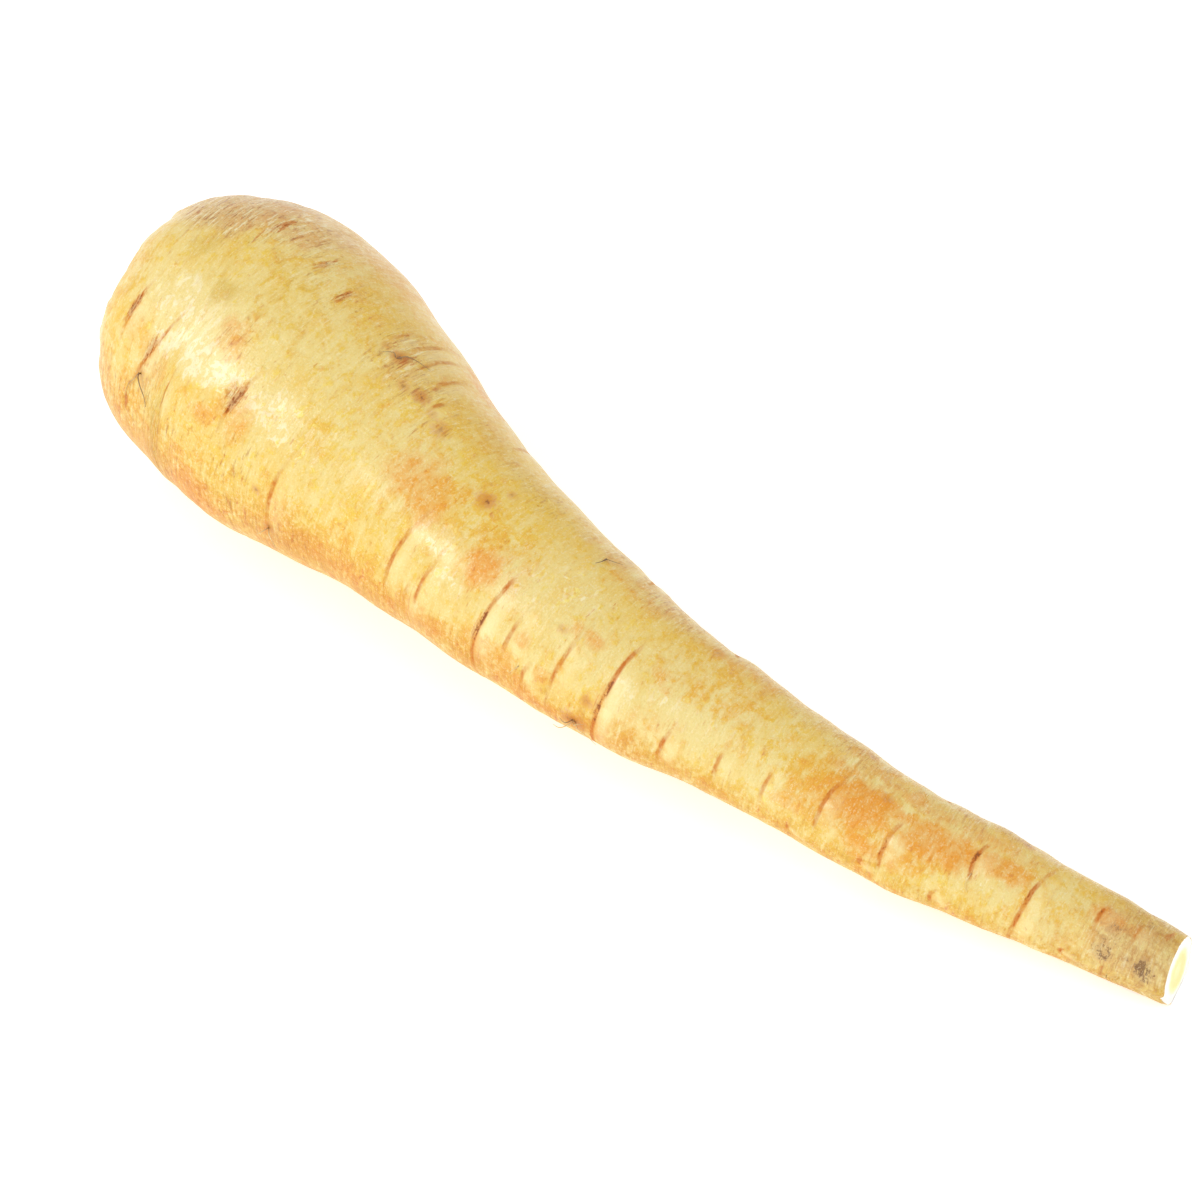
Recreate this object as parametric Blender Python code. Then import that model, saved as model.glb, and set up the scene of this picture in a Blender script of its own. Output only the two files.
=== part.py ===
"""A parsnip as pulled and trimmed: one taproot lying on its side, its thin tail cut off, and the short
bases of its leaf stalks standing in the sunken crown.

Metres, +Z up. The root runs along X, with the crown at -X and the cut tail at +X, and rests on z = 0.
Its shape is first turned about a straight axis, where "along" is the distance from the crown's rim,
and is then lobed, bowed sideways and laid down until its shoulder and its tail both touch the ground.
"""

import math

import bmesh
import bpy
from mathutils import Matrix, Vector

# Driving dimensions of the root.
LENGTH = 0.251
GIRTH_RADIUS = 0.0306
BOW = 0.0120
REST_FLAT = 0.0011
# The tail's cut leans back this much from square, to the side and upwards.
CUT_LEAN = (math.radians(1.9), math.radians(12.3))
CUT_LEAN_REACH = 0.012

# Outline of the half section as (share of LENGTH, share of GIRTH_RADIUS): crown floor, pit, rim,
# shoulder and taper. It ends at the edge of the tail's cut.
OUTLINE = [
    (0.030, 0.310),
    (0.029, 0.360),
    (0.014, 0.410),
    (0.003, 0.460),
    (0.000, 0.540),
    (0.006, 0.650),
    (0.024, 0.795),
    (0.058, 0.928),
    (0.110, 1.000),
    (0.160, 0.984),
    (0.215, 0.902),
    (0.275, 0.782),
    (0.340, 0.675),
    (0.420, 0.598),
    (0.520, 0.505),
    (0.620, 0.408),
    (0.700, 0.359),
    (0.780, 0.332),
    (0.880, 0.283),
    (1.000, 0.216),
]
RINGS_PER_SPAN = 4
SIDES = 44
MERGE_DISTANCE = 1e-6
SHARP_ANGLE = math.radians(40)

# Sideways bow as (share of LENGTH, share of BOW), bending towards -Y in the middle.
BOW_LINE = [
    (-0.05, 0.00),
    (0.05, 0.12),
    (0.11, 0.16),
    (0.17, -0.06),
    (0.25, -0.30),
    (0.34, -0.60),
    (0.43, -0.86),
    (0.53, -1.00),
    (0.64, -0.88),
    (0.77, -0.76),
    (0.88, -0.38),
    (1.05, 0.16),
]

# Lobes of the cross section: waves round the root, share of the radius, phase, twist along LENGTH.
LOBES = [
    (2, 0.022, math.radians(35), math.radians(70)),
    (3, 0.014, math.radians(110), math.radians(-120)),
    (5, 0.006, math.radians(20), math.radians(200)),
]
# Swellings between the growth creases: how many along LENGTH, share of the radius, and the share of
# LENGTH over which they grow to that size.
SWELLINGS = 13
SWELLING_SIZE = 0.007
SWELLING_ONSET = 0.17

# Leaf stalk bases: name, spread from the crown's axis, turn, width, thickness, height, outward lean.
LEAF_STUBS = [
    ("leaf_stub_outer_1", 0.0066, math.radians(12), 0.0086, 0.0034, 0.0098, 0.12),
    ("leaf_stub_outer_2", 0.0064, math.radians(100), 0.0074, 0.0030, 0.0068, 0.20),
    ("leaf_stub_outer_3", 0.0067, math.radians(190), 0.0082, 0.0036, 0.0086, 0.10),
    ("leaf_stub_outer_4", 0.0065, math.radians(280), 0.0078, 0.0032, 0.0076, 0.16),
    ("leaf_stub_inner_1", 0.0026, math.radians(50), 0.0040, 0.0022, 0.0094, 0.03),
    ("leaf_stub_inner_2", 0.0026, math.radians(170), 0.0037, 0.0021, 0.0072, 0.06),
    ("leaf_stub_inner_3", 0.0026, math.radians(292), 0.0040, 0.0022, 0.0083, 0.04),
]
STUB_SIDES = 16
STUB_RINGS = 3
STUB_TAPER = 0.80
STUB_CUT_SLOPE = 0.22
STUB_GAP = 0.0003

# Principled BSDF settings: base colour, roughness.
ROOT_SKIN = ("root_skin", (0.83, 0.61, 0.24), 0.48)
LEAF_STALK = ("leaf_stalk", (0.42, 0.36, 0.14), 0.60)


def clear_scene():
    for obj in list(bpy.data.objects):
        bpy.data.objects.remove(obj, do_unlink=True)


def material(name, colour, roughness):
    made = bpy.data.materials.new(name)
    made.use_nodes = True
    shader = made.node_tree.nodes["Principled BSDF"]
    shader.inputs["Base Color"].default_value = (*colour, 1.0)
    shader.inputs["Roughness"].default_value = roughness
    shader.inputs["Metallic"].default_value = 0.0
    return made


def smooth_curve(points, steps):
    """Points of a Catmull-Rom curve through the given 2-D points, with that many steps a span."""
    knots = [Vector(p) for p in points]
    knots = [2 * knots[0] - knots[1], *knots, 2 * knots[-1] - knots[-2]]
    curve = []
    for before, start, end, after in zip(knots, knots[1:], knots[2:], knots[3:]):
        for step in range(steps):
            t = step / steps
            curve.append(
                0.5
                * (
                    2 * start
                    + (end - before) * t
                    + (2 * before - 5 * start + 4 * end - after) * t**2
                    + (3 * start - before - 3 * end + after) * t**3
                )
            )
    curve.append(knots[-2])
    return curve


BOW_CURVE = smooth_curve([(LENGTH * share, BOW * side) for share, side in BOW_LINE], 12)


def bow_at(along):
    """Sideways offset of the root's axis, and its slope, at a distance from the crown's rim."""
    for start, end in zip(BOW_CURVE, BOW_CURVE[1:]):
        if along <= end.x:
            break
    slope = (end.y - start.y) / (end.x - start.x)
    return start.y + slope * (along - start.x), slope


def lobed(along, angle):
    """Factor on the radius: the cross section is lobed, and the taper swells between its creases."""
    share = along / LENGTH
    factor = 1.0
    for waves, size, phase, twist in LOBES:
        factor += size * math.sin(waves * angle + phase + twist * share)
    grown = min(max(share / SWELLING_ONSET, 0.0), 1.0)
    return factor + grown * SWELLING_SIZE * math.sin(2 * math.pi * SWELLINGS * share + math.sin(angle))


def on_bowed_axis(along, side, up):
    """Where a point of the straight root goes when its axis bows sideways."""
    offset, slope = bow_at(along)
    tangent = Vector((1, slope, 0)).normalized()
    across = Vector((-tangent.y, tangent.x, 0))
    return Vector((along, offset, 0)) + across * side + Vector((0, 0, up))


def turned_root():
    """The straight root as a closed mesh, spun about the X axis from its half section."""
    corners = [(LENGTH * share, GIRTH_RADIUS * size) for share, size in OUTLINE]
    outline = smooth_curve(corners, RINGS_PER_SPAN)
    section = [(outline[0].x, 0), *outline, (LENGTH, 0)]
    bm = bmesh.new()
    line = [bm.verts.new((along, 0, radius)) for along, radius in section]
    edges = [bm.edges.new(pair) for pair in zip(line, line[1:])]
    bmesh.ops.spin(
        bm,
        geom=line + edges,
        cent=(0, 0, 0),
        axis=(1, 0, 0),
        angle=2 * math.pi,
        steps=SIDES,
        use_merge=True,
    )
    bmesh.ops.remove_doubles(bm, verts=bm.verts, dist=MERGE_DISTANCE)
    bmesh.ops.recalc_face_normals(bm, faces=bm.faces)
    return bm


def shape_root(bm):
    """Lobes the turned root, leans its cut and bows it."""
    lean_start = LENGTH - CUT_LEAN_REACH
    for vert in bm.verts:
        along, side, up = vert.co
        factor = lobed(along, math.atan2(up, side))
        side *= factor
        up *= factor
        near_cut = max(along - lean_start, 0) / CUT_LEAN_REACH
        along -= near_cut * (math.tan(CUT_LEAN[0]) * side + math.tan(CUT_LEAN[1]) * up)
        vert.co = on_bowed_axis(along, side, up)


def laying_matrix(bm):
    """Dips the tail and lifts the root so that its shoulder and its tail stand REST_FLAT into z = 0."""
    tail = min((v.co for v in bm.verts if v.co.x > LENGTH - CUT_LEAN_REACH), key=lambda co: co.z)
    ahead = [v.co for v in bm.verts if v.co.x < LENGTH / 2]
    dip = max(math.atan2(tail.z - co.z, tail.x - co.x) for co in ahead)
    turn = Matrix.Rotation(dip, 4, "Y")
    lowest = min((turn @ v.co).z for v in bm.verts)
    return Matrix.Translation((0, 0, -lowest - REST_FLAT)) @ turn


def flatten_belly(bm):
    """The skin pressed flat where the root bears on the ground."""
    for vert in bm.verts:
        vert.co.z = max(vert.co.z, 0.0)


def add_object(name, bm, finish, collection):
    mesh = bpy.data.meshes.new(name)
    bm.to_mesh(mesh)
    bm.free()
    mesh.shade_smooth()
    mesh.set_sharp_from_angle(angle=SHARP_ANGLE)
    mesh.materials.append(finish)
    obj = bpy.data.objects.new(name, mesh)
    collection.objects.link(obj)
    return obj


def crown_matrix():
    """Frame of the crown on the bowed axis: origin on the crown's floor, +Z out of the crown."""
    floor = LENGTH * OUTLINE[0][0]
    offset, slope = bow_at(floor)
    outward = Vector((-1, -slope, 0))
    return Matrix.Translation((floor, offset, 0)) @ outward.to_track_quat("Z", "Y").to_matrix().to_4x4()


def leaf_stub(spread, width, thickness, height, lean):
    """A trimmed leaf stalk base: an oval column wrapped round the crown's axis into a crescent."""
    bm = bmesh.new()
    bmesh.ops.create_cone(
        bm,
        cap_ends=True,
        segments=STUB_SIDES,
        radius1=0.5,
        radius2=0.5 * STUB_TAPER,
        depth=1.0,
    )
    upright = [e for e in bm.edges if abs(e.verts[0].co.z - e.verts[1].co.z) > 0.5]
    bmesh.ops.subdivide_edges(bm, edges=upright, cuts=STUB_RINGS, use_grid_fill=True)
    for vert in bm.verts:
        round_about = vert.co.y * width
        rise = (vert.co.z + 0.5) * (height + STUB_CUT_SLOPE * round_about)
        radius = spread + vert.co.x * thickness + rise * lean
        angle = round_about / spread
        vert.co = (radius * math.cos(angle), radius * math.sin(angle), STUB_GAP + rise)
    return bm


def centre_on_origin(objects):
    """Moves everything sideways so that the origin is under the middle of the whole box."""
    bpy.context.view_layer.update()
    corners = [obj.matrix_world @ v.co for obj in objects for v in obj.data.vertices]
    middle = [(min(c[i] for c in corners) + max(c[i] for c in corners)) / 2 for i in (0, 1)]
    for obj in objects:
        obj.matrix_world = Matrix.Translation((-middle[0], -middle[1], 0)) @ obj.matrix_world


def main():
    clear_scene()
    collection = bpy.data.collections.new("parsnip")
    bpy.context.scene.collection.children.link(collection)

    body = turned_root()
    shape_root(body)
    laid_down = laying_matrix(body)
    bmesh.ops.transform(body, matrix=laid_down, verts=body.verts)
    flatten_belly(body)
    objects = [add_object("taproot", body, material(*ROOT_SKIN), collection)]

    stalk = material(*LEAF_STALK)
    crown = laid_down @ crown_matrix()
    for name, spread, turn, width, thickness, height, lean in LEAF_STUBS:
        stub = add_object(name, leaf_stub(spread, width, thickness, height, lean), stalk, collection)
        stub.matrix_world = crown @ Matrix.Rotation(turn, 4, "Z")
        objects.append(stub)

    centre_on_origin(objects)


main()
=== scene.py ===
"""Looks of a parsnip lying on a pale studio floor: the root, its leaf stalk bases, rootlets and dry
crown fibres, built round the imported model.

The root is modelled straight, along X, with "along" measured from the crown's rim, and "around" in
degrees from its top, towards -Y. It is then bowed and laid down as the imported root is.
"""

import math

import bpy
import numpy as np
from mathutils import Matrix, Vector


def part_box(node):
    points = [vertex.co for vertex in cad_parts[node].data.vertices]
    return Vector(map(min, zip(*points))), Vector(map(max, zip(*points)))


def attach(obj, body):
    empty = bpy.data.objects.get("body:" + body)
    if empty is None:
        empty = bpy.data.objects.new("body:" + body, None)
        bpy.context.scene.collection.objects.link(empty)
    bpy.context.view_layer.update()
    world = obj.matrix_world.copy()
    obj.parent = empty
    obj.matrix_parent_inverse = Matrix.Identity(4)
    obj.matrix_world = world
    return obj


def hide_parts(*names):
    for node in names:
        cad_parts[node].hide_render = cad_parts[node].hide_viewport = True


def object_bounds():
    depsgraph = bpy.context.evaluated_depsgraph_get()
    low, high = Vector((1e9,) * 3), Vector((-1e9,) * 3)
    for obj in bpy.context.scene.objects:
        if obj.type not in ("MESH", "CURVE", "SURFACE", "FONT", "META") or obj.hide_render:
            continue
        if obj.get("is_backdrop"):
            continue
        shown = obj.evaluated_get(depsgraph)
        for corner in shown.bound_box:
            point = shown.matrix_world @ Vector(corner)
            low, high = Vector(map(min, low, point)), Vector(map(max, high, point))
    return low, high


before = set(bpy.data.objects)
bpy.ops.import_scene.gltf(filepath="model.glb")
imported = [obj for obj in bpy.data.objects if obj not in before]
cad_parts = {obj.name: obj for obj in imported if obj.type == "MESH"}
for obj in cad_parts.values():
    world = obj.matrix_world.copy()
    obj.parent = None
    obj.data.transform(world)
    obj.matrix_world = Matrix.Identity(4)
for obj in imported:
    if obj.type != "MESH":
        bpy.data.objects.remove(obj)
cad_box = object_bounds()

MM = 0.001
BODY = "root"

# ---- Shader maths ----

# Blender's noise keeps near 0.5: this much spreads it from about -1 to 1.
NOISE_SPREAD = 3.2


class Shade:
    """A socket of a finish, so that shader maths reads as arithmetic."""

    def __init__(self, finish, socket):
        self.finish = finish
        self.socket = socket

    def maths(self, operation, *values, clamp=False):
        settings = {"operation": operation, "use_clamp": clamp}
        return self.finish.node("ShaderNodeMath", settings, dict(enumerate(values)))

    def __add__(self, other):
        return self.maths("ADD", self, other)

    __radd__ = __add__

    def __sub__(self, other):
        return self.maths("SUBTRACT", self, other)

    def __rsub__(self, other):
        return self.maths("SUBTRACT", other, self)

    def __mul__(self, other):
        return self.maths("MULTIPLY", self, other)

    __rmul__ = __mul__

    def __truediv__(self, other):
        return self.maths("DIVIDE", self, other)

    def __abs__(self):
        return self.maths("ABSOLUTE", self)

    def clamped(self):
        return self.maths("ADD", self, 0.0, clamp=True)

    def ease(self, low, high):
        """0 up to low, 1 from high, and smooth between them. High may be the smaller number."""
        return self.finish.node(
            "ShaderNodeMapRange",
            {"interpolation_type": "SMOOTHSTEP"},
            {"Value": self, "From Min": low, "From Max": high},
        )


class Finish:
    """A material being made: it adds the nodes one by one, and paints colour over colour."""

    def __init__(self, name, colour):
        self.colour = colour
        self.material = bpy.data.materials.new(name)
        self.material.use_nodes = True
        self.tree = self.material.node_tree
        self.tree.nodes.clear()

    @staticmethod
    def find(sockets, name):
        if isinstance(name, int):
            return sockets[name]
        named = [s for s in sockets if s.identifier == name]
        return named[0] if named else sockets[name]

    def node(self, kind, settings, inputs, output=0):
        made = self.tree.nodes.new(kind)
        for name, setting in settings.items():
            setattr(made, name, setting)
        for name, value in inputs.items():
            socket = self.find(made.inputs, name)
            if isinstance(value, Shade):
                self.tree.links.new(value.socket, socket)
            else:
                socket.default_value = value
        return Shade(self, self.find(made.outputs, output))

    def painted(self, name, output="Fac"):
        """A mask or vector stored on the mesh."""
        return self.node("ShaderNodeAttribute", {"attribute_name": name}, {}, output)

    def place(self):
        return self.node("ShaderNodeTexCoord", {}, {}, "Object")

    def scaled(self, vector, scales, shift):
        settings = {"operation": "MULTIPLY_ADD"}
        return self.node("ShaderNodeVectorMath", settings, {0: vector, 1: scales, 2: shift})

    def distance(self, vector, point):
        return self.node("ShaderNodeVectorMath", {"operation": "DISTANCE"}, {0: vector, 1: point}, "Value")

    def grain(self, vector, scales, detail=4.0, roughness=0.55, distortion=0.0, shift=(0, 0, 0)):
        """Noise from about -1 to 1. Scales are in lumps a metre, along each axis."""
        inputs = {
            "Vector": self.scaled(vector, scales, shift),
            "Scale": 1.0,
            "Detail": detail,
            "Roughness": roughness,
            "Distortion": distortion,
        }
        noise = self.node("ShaderNodeTexNoise", {"noise_dimensions": "3D"}, inputs)
        return (noise - 0.5) * NOISE_SPREAD

    def mix(self, factor, under, over, way="MIX"):
        return self.node(
            "ShaderNodeMix",
            {"data_type": "RGBA", "blend_type": way},
            {"Factor_Float": factor, "A_Color": under, "B_Color": over},
            "Result_Color",
        )

    def coat(self, share, colour, way="MIX"):
        """Paints a colour over what is there, in that share."""
        self.colour = self.mix(share, self.colour, colour, way)

    def bump(self, height):
        """Bump from a height in metres."""
        return self.node("ShaderNodeBump", {}, {"Height": height, "Strength": 1.0, "Distance": 1.0})

    def finished(self, **inputs):
        """Ends the finish with a Principled shader that has those inputs, and returns the material."""
        named_inputs = {name.replace("_", " "): value for name, value in inputs.items()}
        surface = self.node("ShaderNodeBsdfPrincipled", {}, {"Base Color": self.colour, **named_inputs})
        end = self.tree.nodes.new("ShaderNodeOutputMaterial")
        self.tree.links.new(surface.socket, end.inputs["Surface"])
        return self.material


def paint(red, green, blue):
    """A colour as a painter's 0 to 255 values, as the linear colour that a shader takes."""
    linear = []
    for value in (red, green, blue):
        share = value / 255
        linear.append(share / 12.92 if share <= 0.04045 else ((share + 0.055) / 1.055) ** 2.4)
    return (*linear, 1.0)


# ---- The root's shape, straight ----

LENGTH = 251.0
CUT_RADIUS = 6.61
CROWN_FLOOR = 7.5
# Half section in mm, (along, radius): from the edge of the tail's cut to the crown's floor.
SECTION = [
    (251.0, CUT_RADIUS), (220.9, 8.66), (195.8, 10.16), (175.7, 10.99), (155.6, 12.48),
    (130.5, 15.45), (105.4, 18.30), (85.3, 20.66), (69.0, 23.93), (54.0, 27.60), (40.2, 30.11),
    (27.6, 30.60), (14.6, 28.40), (6.0, 24.33), (1.5, 19.89), (0.0, 16.52), (0.8, 14.08),
    (3.5, 12.55), (7.2, 11.02), (CROWN_FLOOR, 9.49),
]
FLOOR_RINGS = [(CROWN_FLOOR, radius) for radius in (7.6, 5.2, 3.0, 1.3)]
CAGE_SIDES = 12
CAGE_RINGS = 62
SMOOTHING_LEVELS = 3
ROOT_SIDES = CAGE_SIDES * 2**SMOOTHING_LEVELS
# A twelve-sided ring shrinks by this much as it is smoothed.
SMOOTHING_SHRINK = (4 + 2 * math.cos(2 * math.pi / CAGE_SIDES)) / 6
CUT_INSETS = (0.5, 1.4, 2.0, 1.8)
CUT_LEAN = (math.radians(1.9), math.radians(12.3))
CUT_LEAN_REACH = 12.0

# Sideways bow in mm: (along, offset).
BOW_LINE = [
    (-12.5, 0.0), (12.5, 1.44), (27.5, 1.92), (42.5, -0.72), (62.5, -3.60), (85.0, -7.20),
    (107.5, -10.32), (132.5, -12.0), (160.0, -10.56), (192.5, -9.12), (220.0, -4.56), (262.5, 1.92),
]
DIP = math.radians(6.34)

# Lobes of the cross section: waves round the root, share of the radius, phase, twist along it.
LOBES = [
    (2, 0.022, math.radians(35), math.radians(70)),
    (3, 0.014, math.radians(110), math.radians(-120)),
    (5, 0.006, math.radians(20), math.radians(200)),
]
SWELLINGS = 13
SWELLING_SIZE = 0.007
SWELLING_ONSET = 0.17


def smooth_line(points, steps):
    """Points of a Catmull-Rom curve through the given ones, with that many steps a span."""
    knots = [np.array(p, float) for p in points]
    knots = [2 * knots[0] - knots[1], *knots, 2 * knots[-1] - knots[-2]]
    line = []
    for before, start, end, after in zip(knots, knots[1:], knots[2:], knots[3:]):
        for step in range(steps):
            t = step / steps
            line.append(
                0.5
                * (
                    2 * start
                    + (end - before) * t
                    + (2 * before - 5 * start + 4 * end - after) * t**2
                    + (3 * start - before - 3 * end + after) * t**3
                )
            )
    line.append(knots[-2])
    return np.array(line)


def travelled(line):
    """Distance run along a line of points, at each of them."""
    steps = np.linalg.norm(np.diff(line, axis=0), axis=1)
    return np.concatenate([[0.0], np.cumsum(steps)])


def evenly(line, count):
    """That many points, evenly spaced along a line."""
    run = travelled(line)
    stops = np.linspace(0, run[-1], count)
    return np.stack([np.interp(stops, run, axis) for axis in line.T], -1)


SECTION_LINE = smooth_line(SECTION, steps=16)
BOW_CURVE = smooth_line(BOW_LINE, steps=64)
# The bow is evened out over this many mm, ahead and behind.
BOW_SPAN = 3.0


def section_radius(along):
    """Radius of the skin, in mm, that far from the crown's rim."""
    skin = SECTION_LINE[: int(np.argmin(SECTION_LINE[:, 0])) + 1]
    return np.interp(along, skin[::-1, 0], skin[::-1, 1])


def lobed(along, angle):
    """Factor on the radius: the cross section is lobed, and the taper swells between its creases."""
    share = along / LENGTH
    factor = 1.0
    for waves, size, phase, twist in LOBES:
        factor = factor + size * np.sin(waves * angle + phase + twist * share)
    grown = np.clip(share / SWELLING_ONSET, 0, 1)
    return factor + grown * SWELLING_SIZE * np.sin(2 * math.pi * SWELLINGS * share + np.sin(angle))


def bow_at(along):
    """Sideways offset of the root's axis, in mm, and its slope."""
    behind, here, ahead = (np.interp(along + step, *BOW_CURVE.T) for step in (-BOW_SPAN, 0, BOW_SPAN))
    return (behind + 2 * here + ahead) / 4, (ahead - behind) / (2 * BOW_SPAN)


def bowed(straight):
    """Leans the cut, lobes the sections and bows straight points, in mm."""
    along, side, up = straight.T
    factor = lobed(along, np.arctan2(up, side))
    side = side * factor
    up = up * factor
    near_cut = np.clip((along - LENGTH + CUT_LEAN_REACH) / CUT_LEAN_REACH, 0, None)
    along = along - near_cut * (math.tan(CUT_LEAN[0]) * side + math.tan(CUT_LEAN[1]) * up)
    offset, slope = bow_at(along)
    norm = np.sqrt(1 + slope**2)
    return np.stack([along - side * slope / norm, offset + side / norm, up], -1)


def dipped(points):
    """Turns bowed points about Y, so that the tail dips to the ground."""
    x, y, z = points.T
    cos, sin = math.cos(DIP), math.sin(DIP)
    return np.stack([x * cos + z * sin, y, z * cos - x * sin], -1)


def ring_points(along, around):
    """Straight skin points, in mm, for distances along and degrees around."""
    turn = np.radians(around)
    radius = section_radius(along)
    return np.stack([along, -radius * np.sin(turn), radius * np.cos(turn)], -1)


def resting_place():
    """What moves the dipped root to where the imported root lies, in mm."""
    along, around = np.meshgrid(np.linspace(0, LENGTH, 300), np.arange(-180, 180, 4.0))
    low, high = (np.array(corner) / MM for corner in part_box("taproot"))
    skin = dipped(bowed(ring_points(along.ravel(), around.ravel())))
    shift_x = high[0] - skin[:, 0].max()
    shift_y = (low[1] + high[1]) / 2 - (skin[:, 1].min() + skin[:, 1].max()) / 2
    shift_z = high[2] - skin[:, 2].max()
    return np.array([shift_x, shift_y, shift_z])


RESTING_PLACE = resting_place()


def laid(straight):
    """Where straight points, in mm, lie in the finished root, in metres, with its underside flat."""
    placed = dipped(bowed(straight)) + RESTING_PLACE
    sunk = np.maximum(-placed[:, 2], 0.0)
    near_cut = np.clip((straight[:, 0] - LENGTH + CUT_LEAN_REACH) / CUT_LEAN_REACH, 0, 1)
    placed[:, 0] -= sunk * near_cut * math.tan(CUT_LEAN[1] - DIP)
    placed[:, 2] += sunk
    return placed * MM


# ---- Working with meshes ----


def deselect_all():
    if bpy.context.object and bpy.context.object.mode != "OBJECT":
        bpy.ops.object.mode_set(mode="OBJECT")
    bpy.ops.object.select_all(action="DESELECT")


def only(piece):
    """Makes a piece the one that the next operators work on."""
    deselect_all()
    piece.select_set(True)
    bpy.context.view_layer.objects.active = piece


def named(name):
    """Names the piece just added, and its mesh."""
    piece = bpy.context.object
    piece.name = name
    piece.data.name = name
    return piece


def settle(piece):
    """Applies a piece's place, turn and size to its mesh."""
    only(piece)
    bpy.ops.object.transform_apply(location=True, rotation=True, scale=True)


def corners(piece):
    """The piece's vertices, in mm."""
    flat = np.empty(len(piece.data.vertices) * 3)
    piece.data.vertices.foreach_get("co", flat)
    return flat.reshape(-1, 3) / MM


def corner_normals(piece):
    flat = np.empty(len(piece.data.vertices) * 3)
    piece.data.vertex_normals.foreach_get("vector", flat)
    return flat.reshape(-1, 3)


def move_corners(piece, places):
    """Puts the piece's vertices at places given in metres."""
    piece.data.vertices.foreach_set("co", np.ascontiguousarray(places, np.float32).ravel())
    piece.data.update()


def pick(piece, faces=None, edges=None):
    """Enters edit mode with only those faces or edges picked, given as tests in metres."""
    only(piece)
    mesh = piece.data
    for parts in (mesh.vertices, mesh.edges, mesh.polygons):
        parts.foreach_set("select", [False] * len(parts))
    if faces:
        mesh.polygons.foreach_set("select", [bool(faces(p.center, p.normal)) for p in mesh.polygons])
    if edges:
        spots = [v.co for v in mesh.vertices]
        chosen = [bool(edges(spots[e.vertices[0]], spots[e.vertices[1]])) for e in mesh.edges]
        mesh.edges.foreach_set("select", chosen)
    bpy.ops.object.mode_set(mode="EDIT")
    bpy.ops.mesh.select_mode(type="FACE" if faces else "EDGE")


def smoothed(piece, levels):
    only(piece)
    modifier = piece.modifiers.new("smoothing", "SUBSURF")
    modifier.levels = levels
    modifier.render_levels = levels
    bpy.ops.object.modifier_apply(modifier=modifier.name)


def store(piece, name, values):
    """Stores a mask, or a vector in metres, on the piece's vertices."""
    kind = "FLOAT" if values.ndim == 1 else "FLOAT_VECTOR"
    field = "value" if values.ndim == 1 else "vector"
    attribute = piece.data.attributes.new(name, kind, "POINT")
    attribute.data.foreach_set(field, np.ascontiguousarray(values, np.float32).ravel())


# The noise repeats after this many lumps, and is shifted by this much to keep 0 off its grid.
LUMPS_A_SIDE = 32
LUMPS_SHIFT = 7.3


def lumps(points, size, seed):
    """Smooth noise from -1 to 1 at points, whose lumps are about that size along X, Y and Z."""
    table = np.random.default_rng(seed).uniform(-1, 1, (LUMPS_A_SIDE,) * 3)
    cell = points / np.array(size, float) + LUMPS_SHIFT
    base = np.floor(cell).astype(int)
    t = cell - base
    t = t * t * (3 - 2 * t)
    total = np.zeros(len(points))
    for corner in np.ndindex(2, 2, 2):
        weight = np.prod(np.where(corner, t, 1 - t), axis=1)
        i, j, k = ((base + corner) % LUMPS_A_SIDE).T
        total += weight * table[i, j, k]
    return total


def ease(values, low, high):
    """0 up to low, 1 from high, smooth between them. High may be the smaller number."""
    t = np.clip((values - low) / (high - low), 0, 1)
    return t * t * (3 - 2 * t)


def bell(values, width):
    """1 at 0, falling to about a third at that width."""
    return np.exp(-((values / width) ** 2))


def turned_away(around, centre):
    """Degrees from a centre angle round the root, from -180 to 180."""
    return (around - centre + 180) % 360 - 180


# ---- Marks on the skin ----

# Growth creases: along at the start and the end (mm), around at the start and the end (degrees),
# how strong.
CREASES = [
    (10.3, 9.6, 35, 58, 0.5), (20.4, 16.0, 43, 72, 0.6), (30.5, 30.5, 58, 78, 0.35),
    (45.4, 44.8, 39, 60, 0.35), (59.8, 59.2, 56, 103, 0.28), (61.3, 60.7, -52, -10, 0.28),
    (57.0, 56.6, -30, -12, 0.24), (64.6, 64.3, -54, -7, 0.24), (69.2, 68.8, -46, -13, 0.26),
    (72.8, 72.4, -18, -4, 0.24), (87.2, 86.8, 40, 92, 0.4), (92.1, 91.8, 70, 102, 0.25),
    (94.7, 94.3, 45, 97, 0.28), (108.2, 107.7, 42, 92, 1.15), (114.4, 114.1, 40, 82, 0.24),
    (119.4, 119.2, 71, 92, 0.35), (125.2, 124.7, 32, 83, 0.4), (134.8, 134.2, 30, 106, 1.0),
    (147.6, 147.3, 62, 94, 0.45), (159.1, 158.8, 48, 84, 0.28), (169.4, 169.0, 39, 84, 0.27),
    (176.0, 176.0, 90, 100, 0.4), (180.9, 180.5, 23, 65, 0.65), (190.7, 190.7, 81, 90, 0.5),
    (194.2, 193.8, 30, 70, 0.95), (204.6, 204.4, 77, 97, 0.6), (209.8, 209.6, 4, 38, 0.88),
    (222.3, 220.3, -2, 101, 0.64), (230.4, 230.4, 80, 92, 0.5), (234.8, 234.4, -8, 32, 0.5),
    (242.3, 242.1, -4, 25, 0.4),
]
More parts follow.
